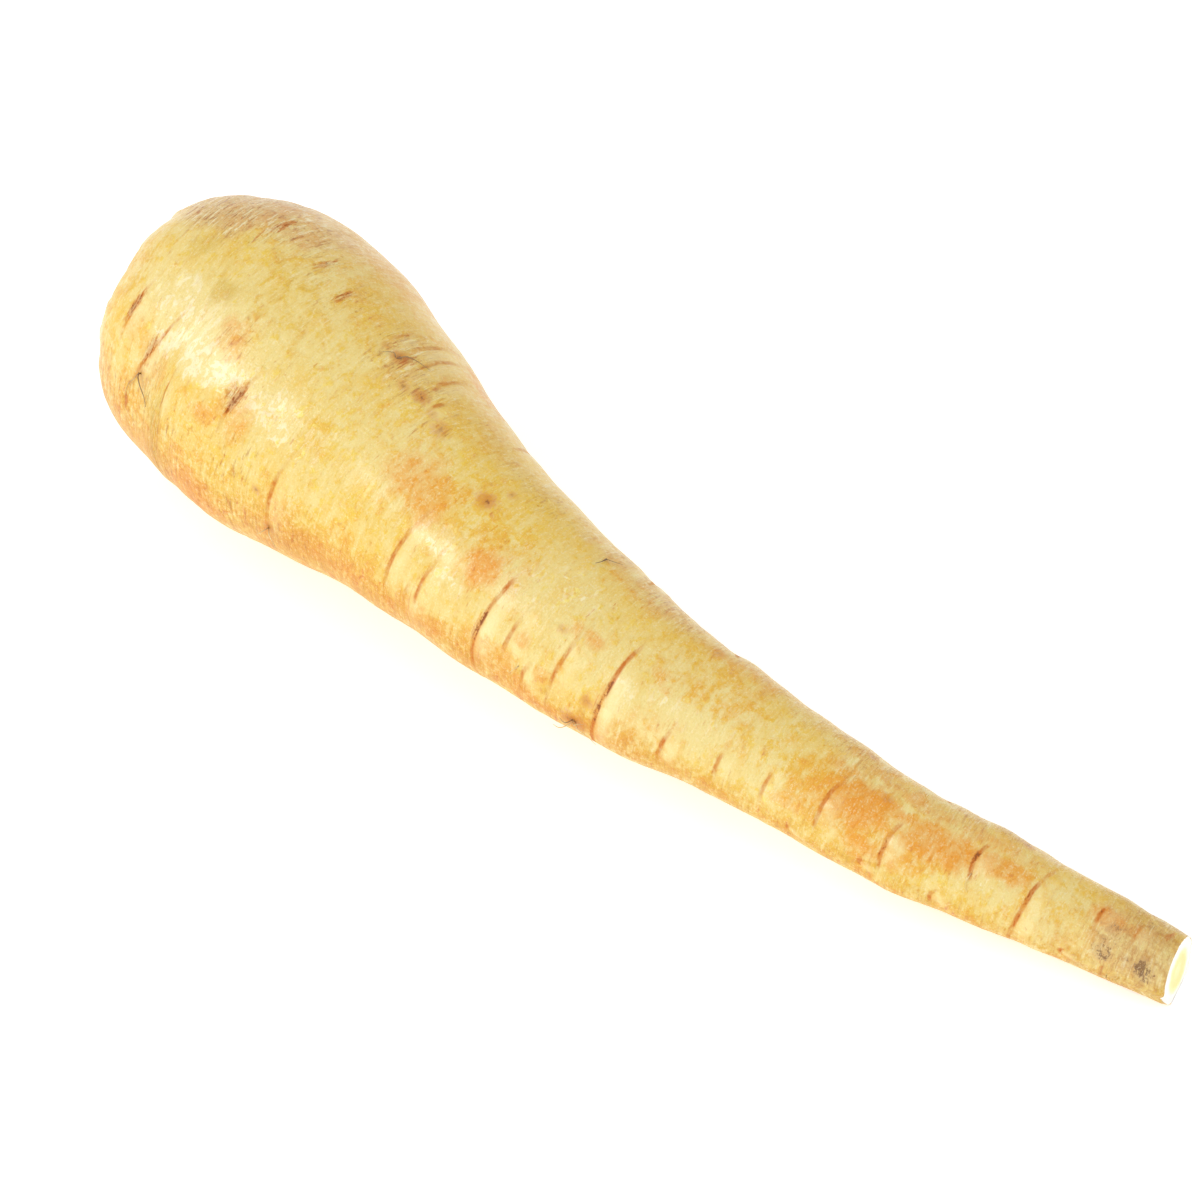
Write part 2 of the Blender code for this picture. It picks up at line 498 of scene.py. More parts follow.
# Scabs: crumbly brown marks that follow the growth rings, with the same five numbers.
SCABS = [
    (25.2, 24.0, -26, -6, 1.05), (24.0, 23.0, -12, 4, 0.45), (36.6, 35.8, -24, -8, 1.05),
    (45.0, 44.2, -20, -4, 0.95), (101.2, 100.8, -24, -15, 0.6), (10.6, 9.4, 36, 54, 1.2),
    (19.0, 17.0, 48, 64, 1.25), (16.6, 14.4, 70, 92, 0.6), (26.8, 25.8, 74, 90, 0.55),
    (30.8, 30.0, 62, 76, 0.5), (45.6, 44.8, 41, 57, 1.35), (44.6, 43.8, 43, 53, 1.0),
    (41.0, 39.6, 62, 74, 0.45), (48.5, 47.5, 66, 80, 0.4), (60.0, 59.4, 62, 74, 0.35),
    (59.0, 58.4, -20, -10, 0.6), (62.8, 62.2, -26, -8, 0.45), (69.2, 68.8, -16, -4, 0.5),
    (76.8, 76.4, -12, -1, 0.35), (130.4, 130.0, 92, 102, 0.6),
]
# Knobs where the root swells: along, around, half length (mm), half width (degrees), height (mm).
KNOBS = [
    (181, -40, 5, 30, 0.45), (211, -36, 6, 34, 0.65), (198, 94, 5, 26, 0.6), (213, 94, 5, 24, 0.5),
    (226, 92, 3, 24, 0.4), (238, -50, 5, 30, 0.3), (140, 102, 6, 24, 0.5), (152, -50, 9, 30, 0.4),
    (122, -48, 8, 26, 0.3), (205, 180, 8, 40, 0.35), (165, 170, 9, 36, 0.4), (176, 96, 2, 20, -0.3),
    (190.5, 90, 2, 20, -0.35), (204.8, 92, 2, 20, -0.4), (222, 94, 2, 22, -0.4),
    (230.5, 90, 1.5, 18, -0.25), (184, -42, 3, 20, -0.25), (220, -45, 5, 24, -0.3),
]
# The side that faces up to the light most, in degrees around.
LIT_SIDE = 38
# The gap to the nearest crease, in mm, where there is none.
FAR_FROM_CREASES = 9.0
# A mark fades out within this share of its half sweep, and this many mm of its line.
MARK_SWEEP = 1.8
MARK_REACH = 14

HIDDEN_CREASES = 46
HIDDEN_CREASE_SEED = 20
HIDDEN_CREASE_STRENGTHS = [0.35, 0.55, 0.75, 0.95, 1.2]
HIDDEN_CREASE_END = 312
HIDDEN_SCABS = 16
HIDDEN_SCAB_SEED = 21

# Patches on the skin: along, around, half length (mm), half width (degrees), strength. Rugged ones
# are rough, with brown threads; pale ones are pale skin, with painted sheen laid over them.
PATCHES = {
    "ochre": [
        (102.5, 38, 5.5, 15, 1.0), (102.5, 30, 10, 28, 0.35), (84.5, 26, 10, 22, 0.72),
        (76, 10, 10, 16, 0.2), (116.5, 57, 2.2, 8, 0.75), (122.5, 71, 2.5, 8, 0.7),
        (123.5, 31, 2.5, 9, 0.6), (124.5, 58, 2, 6, 0.5), (128, 29, 3, 7, 0.7),
        (143.5, 31, 2, 6, 0.5), (126, -26, 14, 14, 0.35), (152, -28, 12, 14, 0.38),
        (196, -12, 10, 16, 0.45), (214, -12, 9, 18, 0.42), (186, -30, 12, 16, 0.35),
        (22, -20, 12, 20, 0.32), (141.5, 22, 4.5, 9, 0.48), (143, 62, 6, 20, 0.34),
        (181, 2, 4, 12, 0.55), (187.0, 32, 8, 38, 1.0), (189, 62, 6, 22, 0.75),
        (198, 58, 5, 18, 0.6), (201.0, 26, 9, 32, 0.9), (215.5, 18, 6, 20, 0.8),
        (184, 50, 10, 26, 0.68), (175, 60, 5, 14, 0.6), (194, 14, 6, 16, 0.95),
        (236, 12, 5, 20, 0.85), (243, 8, 4, 18, 0.6), (176, 22, 9, 34, 0.45), (38, 35, 4, 6, 0.42),
        (53, -16, 3, 6, 0.4), (14, 80, 9, 22, 0.4), (42, 106, 9, 20, 0.75), (70, 98, 22, 16, 0.45),
        (62, 80, 6, 14, 0.4), (76, 74, 4, 9, 0.35), (112, 84, 9, 14, 0.5), (98, 90, 9, 14, 0.55),
        (120, 98, 8, 14, 0.55), (136, 92, 12, 16, 0.35), (47, 54, 5, 11, 0.65),
        (11, 50, 5, 16, 0.5), (24, 62, 4, 9, 0.5), (17, 56, 3, 6, 0.6), (37, 30, 4, 6, 0.65),
        (41, 61, 3, 6, 0.8), (44, 56, 3, 6, 0.6), (152, 15, 9, 25, 0.28), (164, 45, 9, 20, 0.22),
        (230, 45, 14, 50, 0.25),
    ],
    "tan": [
        (14, -24, 15, 34, 0.95), (10, -8, 7, 12, 0.8), (28, -30, 9, 26, 0.65),
        (64, -22, 12, 24, 0.55), (132, -38, 30, 22, 0.5), (172, -32, 20, 22, 0.42),
        (202, -16, 26, 18, 0.45), (182, -6, 6, 14, 0.4), (210, -40, 18, 26, 0.55),
        (244, 20, 12, 90, 0.6), (92, -30, 14, 16, 0.35), (20, 62, 4, 12, 0.4),
    ],
    "rugged": [
        (12, -18, 12, 26, 0.9), (24, -24, 8, 22, 0.8), (36, -16, 6, 18, 0.55),
        (45, -12, 5, 16, 0.5), (58, -16, 6, 20, 0.7), (67, -12, 7, 18, 0.7), (76, -6, 6, 14, 0.5),
        (12, 84, 9, 18, 0.6), (22, 74, 7, 14, 0.55), (34, 78, 6, 14, 0.5), (50, 68, 7, 14, 0.5),
        (40, 104, 14, 18, 0.7), (60, 100, 14, 14, 0.55), (38, 32, 4, 7, 0.65), (41, 61, 4, 7, 0.55),
        (100, -26, 10, 14, 0.35), (132, -42, 14, 14, 0.4), (182, -34, 8, 20, 0.45),
        (210, -34, 10, 16, 0.35), (184, 4, 5, 14, 0.6), (20, 180, 16, 40, 0.6),
        (60, -120, 16, 30, 0.5), (120, 190, 20, 40, 0.4),
    ],
    "golden": [
        (30, 112, 34, 34, 1.0), (60, 40, 7, 14, 0.8), (75, 100, 34, 26, 0.9),
        (112, 96, 26, 24, 0.7), (98, 12, 14, 24, 0.6), (72, -30, 26, 24, 0.4),
        (150, 4, 16, 36, 0.5), (184, 44, 22, 48, 0.75), (196, 28, 16, 34, 0.45),
        (222, 50, 18, 60, 0.3), (140, 90, 30, 24, 0.45), (196, 96, 40, 26, 0.4),
        (4, 60, 8, 60, 0.6),
    ],
    "olive": [
        (16.5, 8, 5, 10, 0.75), (27, 20, 4, 7, 0.8), (22, 15, 9, 14, 0.35), (38, 5, 12, 24, 0.4),
        (52, 12, 12, 20, 0.3), (6, 30, 5, 25, 0.3),
    ],
    "pale": [
        (30, 38, 9, 16, 0.42), (35, 47, 7, 10, 0.72), (22, 48, 6, 8, 0.6), (52, 44, 12, 16, 0.5),
        (18, 32, 9, 16, 0.55), (92, 40, 6, 12, 0.4), (99, 55, 4, 12, 0.45), (111, 30, 8, 16, 0.45),
        (118, 8, 12, 18, 0.3), (138, 48, 4, 20, 0.55), (150, 40, 12, 14, 0.35),
        (173, 64, 6, 16, 0.4), (213, 45, 6, 16, 0.3), (226, 64, 8, 20, 0.25),
    ],
    "dirt": [
        (238, 28, 3.6, 20, 0.8), (237.5, 57, 2.6, 14, 1.0), (233.5, 40, 3, 16, 0.35),
        (242.5, 54, 1.5, 12, 0.6), (242.5, 10, 4, 14, 0.4), (246.5, 58, 3.0, 22, 1.1),
        (244, -20, 3.2, 16, 0.75), (248.5, 20, 2.2, 70, 0.3), (247, 100, 3, 40, 0.45),
        (216.5, -38, 1.5, 6, 0.8), (182.5, -38, 1.5, 6, 0.65), (246, 180, 5, 60, 0.6),
        (130.5, 99, 1.6, 6, 0.55), (240, -90, 8, 40, 0.45),
    ],
}
# The same for the far side and the underside: seed, count, and the ranges of half length (mm), half
# width (degrees) and strength.
HIDDEN_PATCHES = {
    "tan": (51, 12, (8, 20), (16, 34), (0.35, 0.75)),
    "ochre": (52, 26, (4, 11), (9, 28), (0.35, 1.0)),
    "golden": (53, 9, (16, 32), (24, 44), (0.4, 0.9)),
    "pale": (54, 20, (5, 13), (12, 28), (0.3, 0.6)),
    "rugged": (55, 14, (6, 14), (12, 28), (0.35, 0.85)),
}
# Where the skin is wrinkled: low on the bulb's side, and over its shoulder.
WRINKLED_PATCHES = [(44, 108, 26, 34, 1.0), (10, -30, 14, 60, 0.9)]
# Spots: along, around, size (mm), how dark.
SPOTS = [
    (94.0, 5, 1.3, 0.95), (96.0, -10, 0.7, 0.5), (132.0, 70, 0.9, 0.85), (56.0, 78, 0.7, 0.6),
    (69.5, -9, 1.1, 0.9), (60.6, -13, 1.0, 0.8), (57.5, -12, 0.7, 0.5), (66.0, -5, 0.8, 0.55),
    (77.0, -5, 1.3, 0.6), (73.5, -7, 0.7, 0.45), (130.4, 97, 1.6, 0.9), (17.5, 67, 0.8, 0.5),
    (122.0, 36, 0.6, 0.5), (190.0, 4, 0.8, 0.6), (59.6, 96, 1.0, 0.5), (216.5, -38, 0.9, 0.7),
    (182.5, -38, 0.9, 0.6), (147.0, -30, 1.2, 0.35),
]


def hidden_creases():
    """Creases for the far side and the underside, from a fixed draw."""
    draw = np.random.default_rng(HIDDEN_CREASE_SEED)
    made = []
    for along in np.linspace(16, 246, HIDDEN_CREASES):
        start = draw.uniform(112, 290)
        sweep = draw.uniform(14, 62)
        along = along + draw.uniform(-2.5, 2.5)
        tilt = draw.uniform(-0.8, 0.8)
        end = min(start + sweep, HIDDEN_CREASE_END)
        made.append((along, along + tilt, start, end, draw.choice(HIDDEN_CREASE_STRENGTHS)))
    return made


def hidden_scabs():
    """Scabs for the far side and the underside, from a fixed draw."""
    draw = np.random.default_rng(HIDDEN_SCAB_SEED)
    made = []
    for along in draw.uniform(10, 160, HIDDEN_SCABS):
        start = draw.uniform(120, 288)
        made.append((along, along - 0.8, start, start + draw.uniform(8, 18), draw.uniform(0.45, 1.0)))
    return made


def hidden_patches(seed, count, lengths, widths, strengths):
    """Patches of colour for the far side and the underside, from a fixed draw."""
    draw = np.random.default_rng(seed)
    made = []
    for _ in range(count):
        place = (draw.uniform(6, 246), draw.uniform(122, 302))
        made.append((*place, draw.uniform(*lengths), draw.uniform(*widths), draw.uniform(*strengths)))
    return made


def along_marks(marks, along, around, wander):
    """For each mark: which points it touches, how far round its middle they are (from -1 to 1), how
    far from its line (mm, positive towards the tail) and how strong it is."""
    for start, end, first, last, strength in marks:
        t = turned_away(around, (first + last) / 2) / ((last - first) / 2)
        near = (np.abs(t) < MARK_SWEEP) & (np.abs(along - (start + end) / 2) < MARK_REACH)
        t = t[near]
        line = (start + end) / 2 + (end - start) / 2 * t + 0.35 * (t**2 - 0.5)
        yield near, t, along[near] - line + wander[near], strength


def crease_marks(along, around, wander):
    """What the creases do at each point: the lift of the skin (mm), how far the nearest crease's line
    is (mm, positive towards the tail) and how strong it is there, and the halo and rib masks."""
    lift, power, halo, rib = np.zeros((4, len(along)))
    gap = np.full(len(along), FAR_FROM_CREASES)
    for near, t, off, strength in along_marks(CREASES + hidden_creases(), along, around, wander):
        here = strength * ease(np.abs(t), 1.1, 0.2) * (1 - 0.35 * np.clip(t, -1, 1))
        trace = 0.35 * strength * ease(np.abs(t), 1.75, 1.1)
        broad = math.sqrt(strength) * ease(np.abs(t), 1.5, 0.1)
        lift[near] -= 0.08 * here * bell(off, 0.35) + 0.16 * broad * bell(off + 1.1, 2.2)
        lift[near] += 0.10 * here * bell(off - 1.3, 1.0) + 0.34 * broad * bell(off - 3.4, 2.8)
        nearer = np.abs(off) < np.abs(gap[near])
        gap[near] = np.where(nearer, off, gap[near])
        here = np.maximum(here, trace) * ease(np.abs(off), 1.8, 1.3)
        power[near] = np.where(nearer, here, power[near])
        halo[near] = np.maximum(halo[near], broad * bell(off, 1.5))
        rib[near] = np.maximum(rib[near], broad * bell(off - 2.0, 1.6))
    return lift, gap, power, halo, rib


def scab_marks(along, around, wander):
    """Lift of the skin (mm) and mask of the scabs."""
    lift, scab = np.zeros((2, len(along)))
    for near, t, off, strength in along_marks(SCABS + hidden_scabs(), along, around, wander):
        here = strength * ease(np.abs(t), 1.25, 0.3) * bell(off, 1.1)
        lift[near] -= 0.16 * here
        scab[near] = np.maximum(scab[near], here)
    return lift, scab


def patch_reach(along, around, middle, turn, length, width):
    """0 in the middle of an oval patch, 1 round its edge."""
    return np.hypot((along - middle) / length, turned_away(around, turn) / width)


def patches(along, around, places, edge):
    """A mask of soft patches, whose edges are pushed about by a noise."""
    total = np.zeros(len(along))
    for middle, turn, length, width, strength in places:
        reach = patch_reach(along, around, middle, turn, length, width)
        total = np.maximum(total, strength * ease(reach + edge * 0.35, 1.25, 0.35))
    return total


# ---- The root ----

# Points nearer than this, in metres, lie in one plane.
CLOSE = 1e-6


def root_blank():
    """The straight root as a closed mesh: extruded ring by ring from the tail, then smoothed."""
    rings = [tuple(ring) for ring in evenly(SECTION_LINE, CAGE_RINGS)] + FLOOR_RINGS
    rings = [(along * MM, radius * MM / SMOOTHING_SHRINK) for along, radius in rings]
    (cut, cut_radius), (second, second_radius) = rings[:2]
    deselect_all()
    bpy.ops.mesh.primitive_cylinder_add(
        vertices=CAGE_SIDES,
        radius=cut_radius,
        depth=cut - second,
        location=((cut + second) / 2, 0, 0),
        rotation=(0, math.pi / 2, 0),
    )
    root = named("parsnip_root")
    settle(root)
    pick(root, faces=lambda centre, normal: normal.x < -0.9)
    grow = second_radius / cut_radius
    bpy.ops.transform.resize(value=(1, grow, grow), center_override=(second, 0, 0))
    for (before, before_radius), (along, radius) in zip(rings[1:], rings[2:]):
        bpy.ops.mesh.extrude_region_move(TRANSFORM_OT_translate={"value": (along - before, 0, 0)})
        grow = radius / before_radius
        bpy.ops.transform.resize(value=(1, grow, grow), center_override=(along, 0, 0))
    pick(root, faces=lambda centre, normal: centre.x > cut - CLOSE)
    for thickness in CUT_INSETS:
        bpy.ops.mesh.inset(thickness=thickness * MM)
    rim = cut_radius * 0.99
    pick(root, edges=lambda a, b: min(a.x, b.x) > cut - CLOSE and min(a.yz.length, b.yz.length) > rim)
    bpy.ops.transform.edge_crease(value=1.0)
    smoothed(root, SMOOTHING_LEVELS)
    pick(root, edges=lengthwise)
    bpy.ops.mesh.subdivide(number_cuts=1)
    bpy.ops.object.mode_set(mode="OBJECT")
    return root


def lengthwise(a, b):
    """An edge that runs along the skin, clear of the rim and the cut."""
    if not 0.0035 < min(a.x, b.x) or max(a.yz.length, b.yz.length) < 0.006:
        return False
    if max(a.x, b.x) < 0.012 and min(a.yz.length, b.yz.length) < 0.018:
        return False
    return abs(a.x - b.x) > 0.0001


def where_on_section(along, radius):
    """Share of the way along the whole section, from the middle of the cut to the crown's middle, for
    each point and for each corner of the section."""
    whole = np.concatenate([[(LENGTH, 0.0)], SECTION_LINE[::2], FLOOR_RINGS, [(CROWN_FLOOR, 0.0)]])
    run = travelled(whole)
    best = np.full(len(along), 1e9)
    share = np.zeros(len(along))
    for (a, b), (start, end) in zip(zip(whole, whole[1:]), zip(run, run[1:])):
        step = b - a
        length = step @ step
        if length < 1e-12:
            continue
        t = np.clip(((along - a[0]) * step[0] + (radius - a[1]) * step[1]) / length, 0, 1)
        gap = (along - a[0] - t * step[0]) ** 2 + (radius - a[1] - t * step[1]) ** 2
        nearer = gap < best
        best[nearer] = gap[nearer]
        share[nearer] = (start + t * (end - start))[nearer]
    return share / run[-1], run / run[-1]


UNWRAP_MARGIN = 0.002


def unwrap(piece, share, around):
    """Unwraps the piece round its axis, with the seam underneath, on a map that uses the whole square."""
    mesh = piece.data
    loops = np.empty(len(mesh.loops), int)
    mesh.loops.foreach_get("vertex_index", loops)
    starts = np.empty(len(mesh.polygons), int)
    mesh.polygons.foreach_get("loop_start", starts)
    sizes = np.empty(len(mesh.polygons), int)
    mesh.polygons.foreach_get("loop_total", sizes)
    face = np.repeat(np.arange(len(starts)), sizes)
    across = (around[loops] + 180) / 360
    highest = np.maximum.reduceat(across, starts)[face]
    across = np.where(highest - across > 0.5, across + 1, across)
    up = share[loops]
    pole = (share[loops] < 1e-5) | (share[loops] > 1 - 1e-5)
    count = np.add.reduceat(np.where(pole, 0, 1), starts)[face]
    middle = np.add.reduceat(np.where(pole, 0, across), starts)[face] / np.maximum(count, 1)
    across = np.where(pole, middle, across)
    layer = mesh.uv_layers.new(name="OFBake")
    # The seam's last strip sticks out past 1 by one side of the root.
    spots = np.stack([across / (1 + 1 / ROOT_SIDES), up], -1) * (1 - 2 * UNWRAP_MARGIN) + UNWRAP_MARGIN
    layer.data.foreach_set("uv", spots.astype(np.float32).ravel())


class Straight:
    """Where the vertices of the straight root are, in mm and degrees, and what part of it they are on."""

    def __init__(self, piece):
        self.points = corners(piece)
        self.along, side, up = self.points.T
        self.radius = np.hypot(side, up)
        self.around = np.degrees(np.arctan2(-side, up))
        self.share, stops = where_on_section(self.along, self.radius)
        self.on_cut = self.share < stops[1] - 1e-4
        self.rim_share = stops[1 + int(np.argmin(SECTION_LINE[::2, 0]))]
        self.into_crown = ease(self.share, self.rim_share - 0.004, self.rim_share + 0.035)
        self.on_skin = (1 - self.into_crown) * ~self.on_cut
        self.edge = self.lumps((4, 6, 6), seed=6) + 0.5 * self.lumps((1.5, 2.5, 2.5), seed=7)

    def lumps(self, size, seed):
        return lumps(self.points, size, seed)

    def patches(self, places):
        return patches(self.along, self.around, places, self.edge)


def skin_lift(root, creased, scabbed, rib, tan):
    """Lift of the skin, in mm, from its creases and scabs, lumps, growth rings, knobs and spots."""
    along, around, radius = root.along, root.around, root.radius
    rings = root.lumps((2.6, 24, 24), seed=3) + 0.6 * root.lumps((1.1, 13, 13), seed=4)
    wrinkles = root.lumps((0.8, 9, 9), seed=5)
    wrinkled = root.patches(WRINKLED_PATCHES)
    quiet = 1 - 0.7 * np.clip(rib, 0, 1)
    lift = 0.30 * root.lumps((26, 20, 20), seed=1) + 0.14 * root.lumps((11, 9, 9), seed=2)
    lift = lift + quiet * rings * (0.045 + 0.05 * tan + 0.03 * wrinkled)
    lift = lift + wrinkles * (0.012 + 0.05 * wrinkled + 0.02 * tan)
    lift = lift + creased + scabbed * (0.4 + root.lumps((0.8, 0.8, 0.8), seed=16))
    for *knob, height in KNOBS:
        lift = lift + height * bell(patch_reach(along, around, *knob), 1.0)
    for spot_along, spot_around, size, dark in SPOTS:
        away = np.hypot(along - spot_along, np.radians(turned_away(around, spot_around)) * radius)
        lift = lift + dark * (0.20 * bell(away, size * 1.6) - 0.32 * bell(away, size * 0.8))
    # The shoulder is folded lengthwise, and puckered where it turns into the rim.
    shoulder = ease(along, 16, 2) * (1 - root.into_crown)
    turn = np.radians(around)
    folds = np.sin(turn * 7 + 1.5 * root.lumps((30, 12, 12), seed=10))
    wheel = np.stack([radius, 40 * np.cos(turn), 40 * np.sin(turn)], -1)
    puckers = np.abs(lumps(wheel, (10, 4, 4), seed=17)) - 0.4
    return lift + shoulder * (0.26 * folds + 0.5 * ease(radius, 27, 18) * puckers)


def crown_lift(root, scars):
    """Lift of the crown's pit, in mm: rings of old leaf scars on its wall, and a mounded corky floor."""
    cork = root.lumps((1.3, 1.3, 1.3), seed=12) + 0.6 * root.lumps((0.7, 0.7, 0.7), seed=13)
    mound = 1.5 * bell(root.radius, 7.5)
    lift = root.into_crown * (mound + 0.55 * (1 - scars) + 0.20 * cork - 0.15)
    return lift * ease(root.into_crown * root.radius, 0.0, 1.0)


def cut_shift(root):
    """How far the cut's points move along the root, in mm: the core is a little sunken in its firm rim,
    and the skin's edge is frayed, with a nick low down."""
    at_rim = bell(root.radius - CUT_RADIUS, 1.0)
    core = 0.16 * bell(root.radius, 2.2) + 0.05 * np.abs(root.lumps((9, 1.2, 1.2), seed=14))
    nick = 0.9 * bell(turned_away(root.around, 98), 8) * (root.along > 240)
    fray = 0.14 * root.lumps((50, 2.4, 2.4), seed=15) * ease(root.along, LENGTH - 1.5, LENGTH)
    return (fray - nick) * at_rim - core * root.on_cut


def shaped_root(piece, root):
    """Gives the straight root its relief, bows it and lays it down. Returns the masks of its finish."""
    along, around, on_skin = root.along, root.around, root.on_skin
    wander = 0.28 * root.lumps((400, 6, 6), seed=8) + 0.08 * root.lumps((400, 1.6, 1.6), seed=9)
    creased, gap, power, halo, rib = crease_marks(along, around, wander)
    scabbed, scab = scab_marks(along, around, wander)
    scars = np.abs(np.sin(root.radius * 2.1 + 2.2 * root.lumps((9, 7, 7), seed=11)))
    masks = {}
    for name, places in PATCHES.items():
        hidden = hidden_patches(*HIDDEN_PATCHES[name]) if name in HIDDEN_PATCHES else []
        masks[name] = root.patches(places + hidden)

    lift = on_skin * skin_lift(root, creased, scabbed, rib, masks["tan"]) + crown_lift(root, scars)
    lift = lift * np.where(along > 200, ease(along, LENGTH - 0.02, LENGTH - 1.2), 1.0)
    moved = root.points + corner_normals(piece) * lift[:, None]
    moved[:, 0] += cut_shift(root)
    move_corners(piece, laid(moved))

    off_top = np.abs(turned_away(around, LIT_SIDE))
    far = ease(off_top, 104, 140)
    lowered = turned_away(around, LIT_SIDE + 2)
    return masks | {
        "straight": root.points * MM,
        "gap": gap,
        "power": power * on_skin,
        "halo": halo * on_skin,
        "rib": rib * on_skin,
        "scab": scab * on_skin,
        "scar": scars,
        "crown": ease(root.share + 0.008 * root.edge, root.rim_share - 0.016, root.rim_share + 0.022),
        # Masks measured from the side that faces the light: the finish uses the first to paint the skin
        # paler towards the light, and under to lay painted shade on the lower side.
        "turned_from_light": ease(off_top, 14, 84) * (1 - 0.75 * far),
        "far": far,
        "tail": ease(along + 6 * root.edge, 226, 246),
        "under": ease(lowered, 22, 60) * ease(lowered, 170, 110),
    }


def finish_root(piece, root):
    """Gives the skin and the cut their finishes, with a sharp edge between them."""
    piece.data.materials.append(root_skin())
    piece.data.materials.append(cut_flesh())
    at_cut = root.on_cut | (root.along > LENGTH - 1e-3)
    cut_faces = np.array([at_cut[list(p.vertices)].all() for p in piece.data.polygons])
    piece.data.polygons.foreach_set("material_index", cut_faces.astype(np.int32))
    only(piece)
    bpy.ops.object.shade_smooth()
    sides = {}
    for polygon, is_cut in zip(piece.data.polygons, cut_faces):
        for key in polygon.edge_keys:
            sides.setdefault(key, set()).add(bool(is_cut))
    sharp = [len(sides[edge.key]) == 2 for edge in piece.data.edges]
    piece.data.attributes.new("sharp_edge", "BOOLEAN", "EDGE").data.foreach_set("value", sharp)


def parsnip_root():
    piece = root_blank()
    root = Straight(piece)
    for name, values in shaped_root(piece, root).items():
        store(piece, name, values)
    unwrap(piece, root.share, root.around)
    finish_root(piece, root)
    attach(piece, BODY)
    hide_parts("taproot")
    return piece, root


# ---- Finishes ----

CREAM = paint(234, 212, 136)
# Painted sheen, whitish, for highlights and glints.
SHEEN_WHITE = paint(244, 230, 180)
WHITISH = paint(250, 242, 212)
YELLOW = paint(230, 194, 92)
GOLD = paint(224, 168, 64)
OCHRE = paint(230, 154, 46)
RUST = paint(202, 110, 20)
CREASE = paint(198, 106, 0)
SCAB_RUST = paint(202, 118, 34)
SCAB_UMBER = paint(152, 74, 0)
TAN = paint(220, 178, 110)
THREAD = paint(196, 138, 70)
DARK_THREAD = paint(156, 100, 48)
OLIVE = paint(208, 172, 60)
UMBER = paint(126, 62, 0)
DARK_BARK = paint(116, 76, 38)
BARK = paint(188, 138, 80)
PALE_BARK = paint(216, 182, 128)
SOIL = paint(190, 154, 104)
DARK_SOIL = paint(124, 88, 50)
CRUMBS = paint(216, 192, 150)
IVORY = paint(248, 234, 172)
FLESH = paint(255, 253, 240)
FLESH_GRAIN = paint(255, 252, 236)
CORE = paint(250, 240, 168)
CORE_RING = paint(246, 226, 132)
CORE_HEART = paint(252, 244, 186)
SKIN_EDGE = paint(214, 176, 104)
STALK_OLIVE = paint(152, 142, 76)
STALK_STRAW = paint(214, 202, 138)
STALK_TAN = paint(190, 152, 94)
STALK_DRY = paint(170, 130, 84)
STALK_TOP = paint(132, 94, 56)
STALK_PALE = paint(216, 188, 138)
FIBRE_BROWN = paint(120, 82, 46)
FIBRE_STRAW = paint(198, 166, 112)
ROOTLET_TAN = paint(214, 180, 116)
ROOTLET_PALE = paint(236, 216, 164)
ROOTLET_FOOT = paint(170, 122, 70)
ROOTLET_DARK = paint(100, 64, 38)
TABLE = paint(248, 248, 248)
TABLE_TOOTH = paint(250, 250, 250)
# Glazes, which are multiplied over the colour. The first two are painted shade.
HOLLOW_SHADE = (0.80, 0.60, 0.34, 1.0)
ORANGE_SHADE = (0.86, 0.76, 0.20, 1.0)
SUNNY = (1.0, 0.95, 0.36, 1.0)
DUSTY = (0.78, 0.68, 0.60, 1.0)
# Half width of a crease's line, in mm.
CREASE_REACH = 0.5


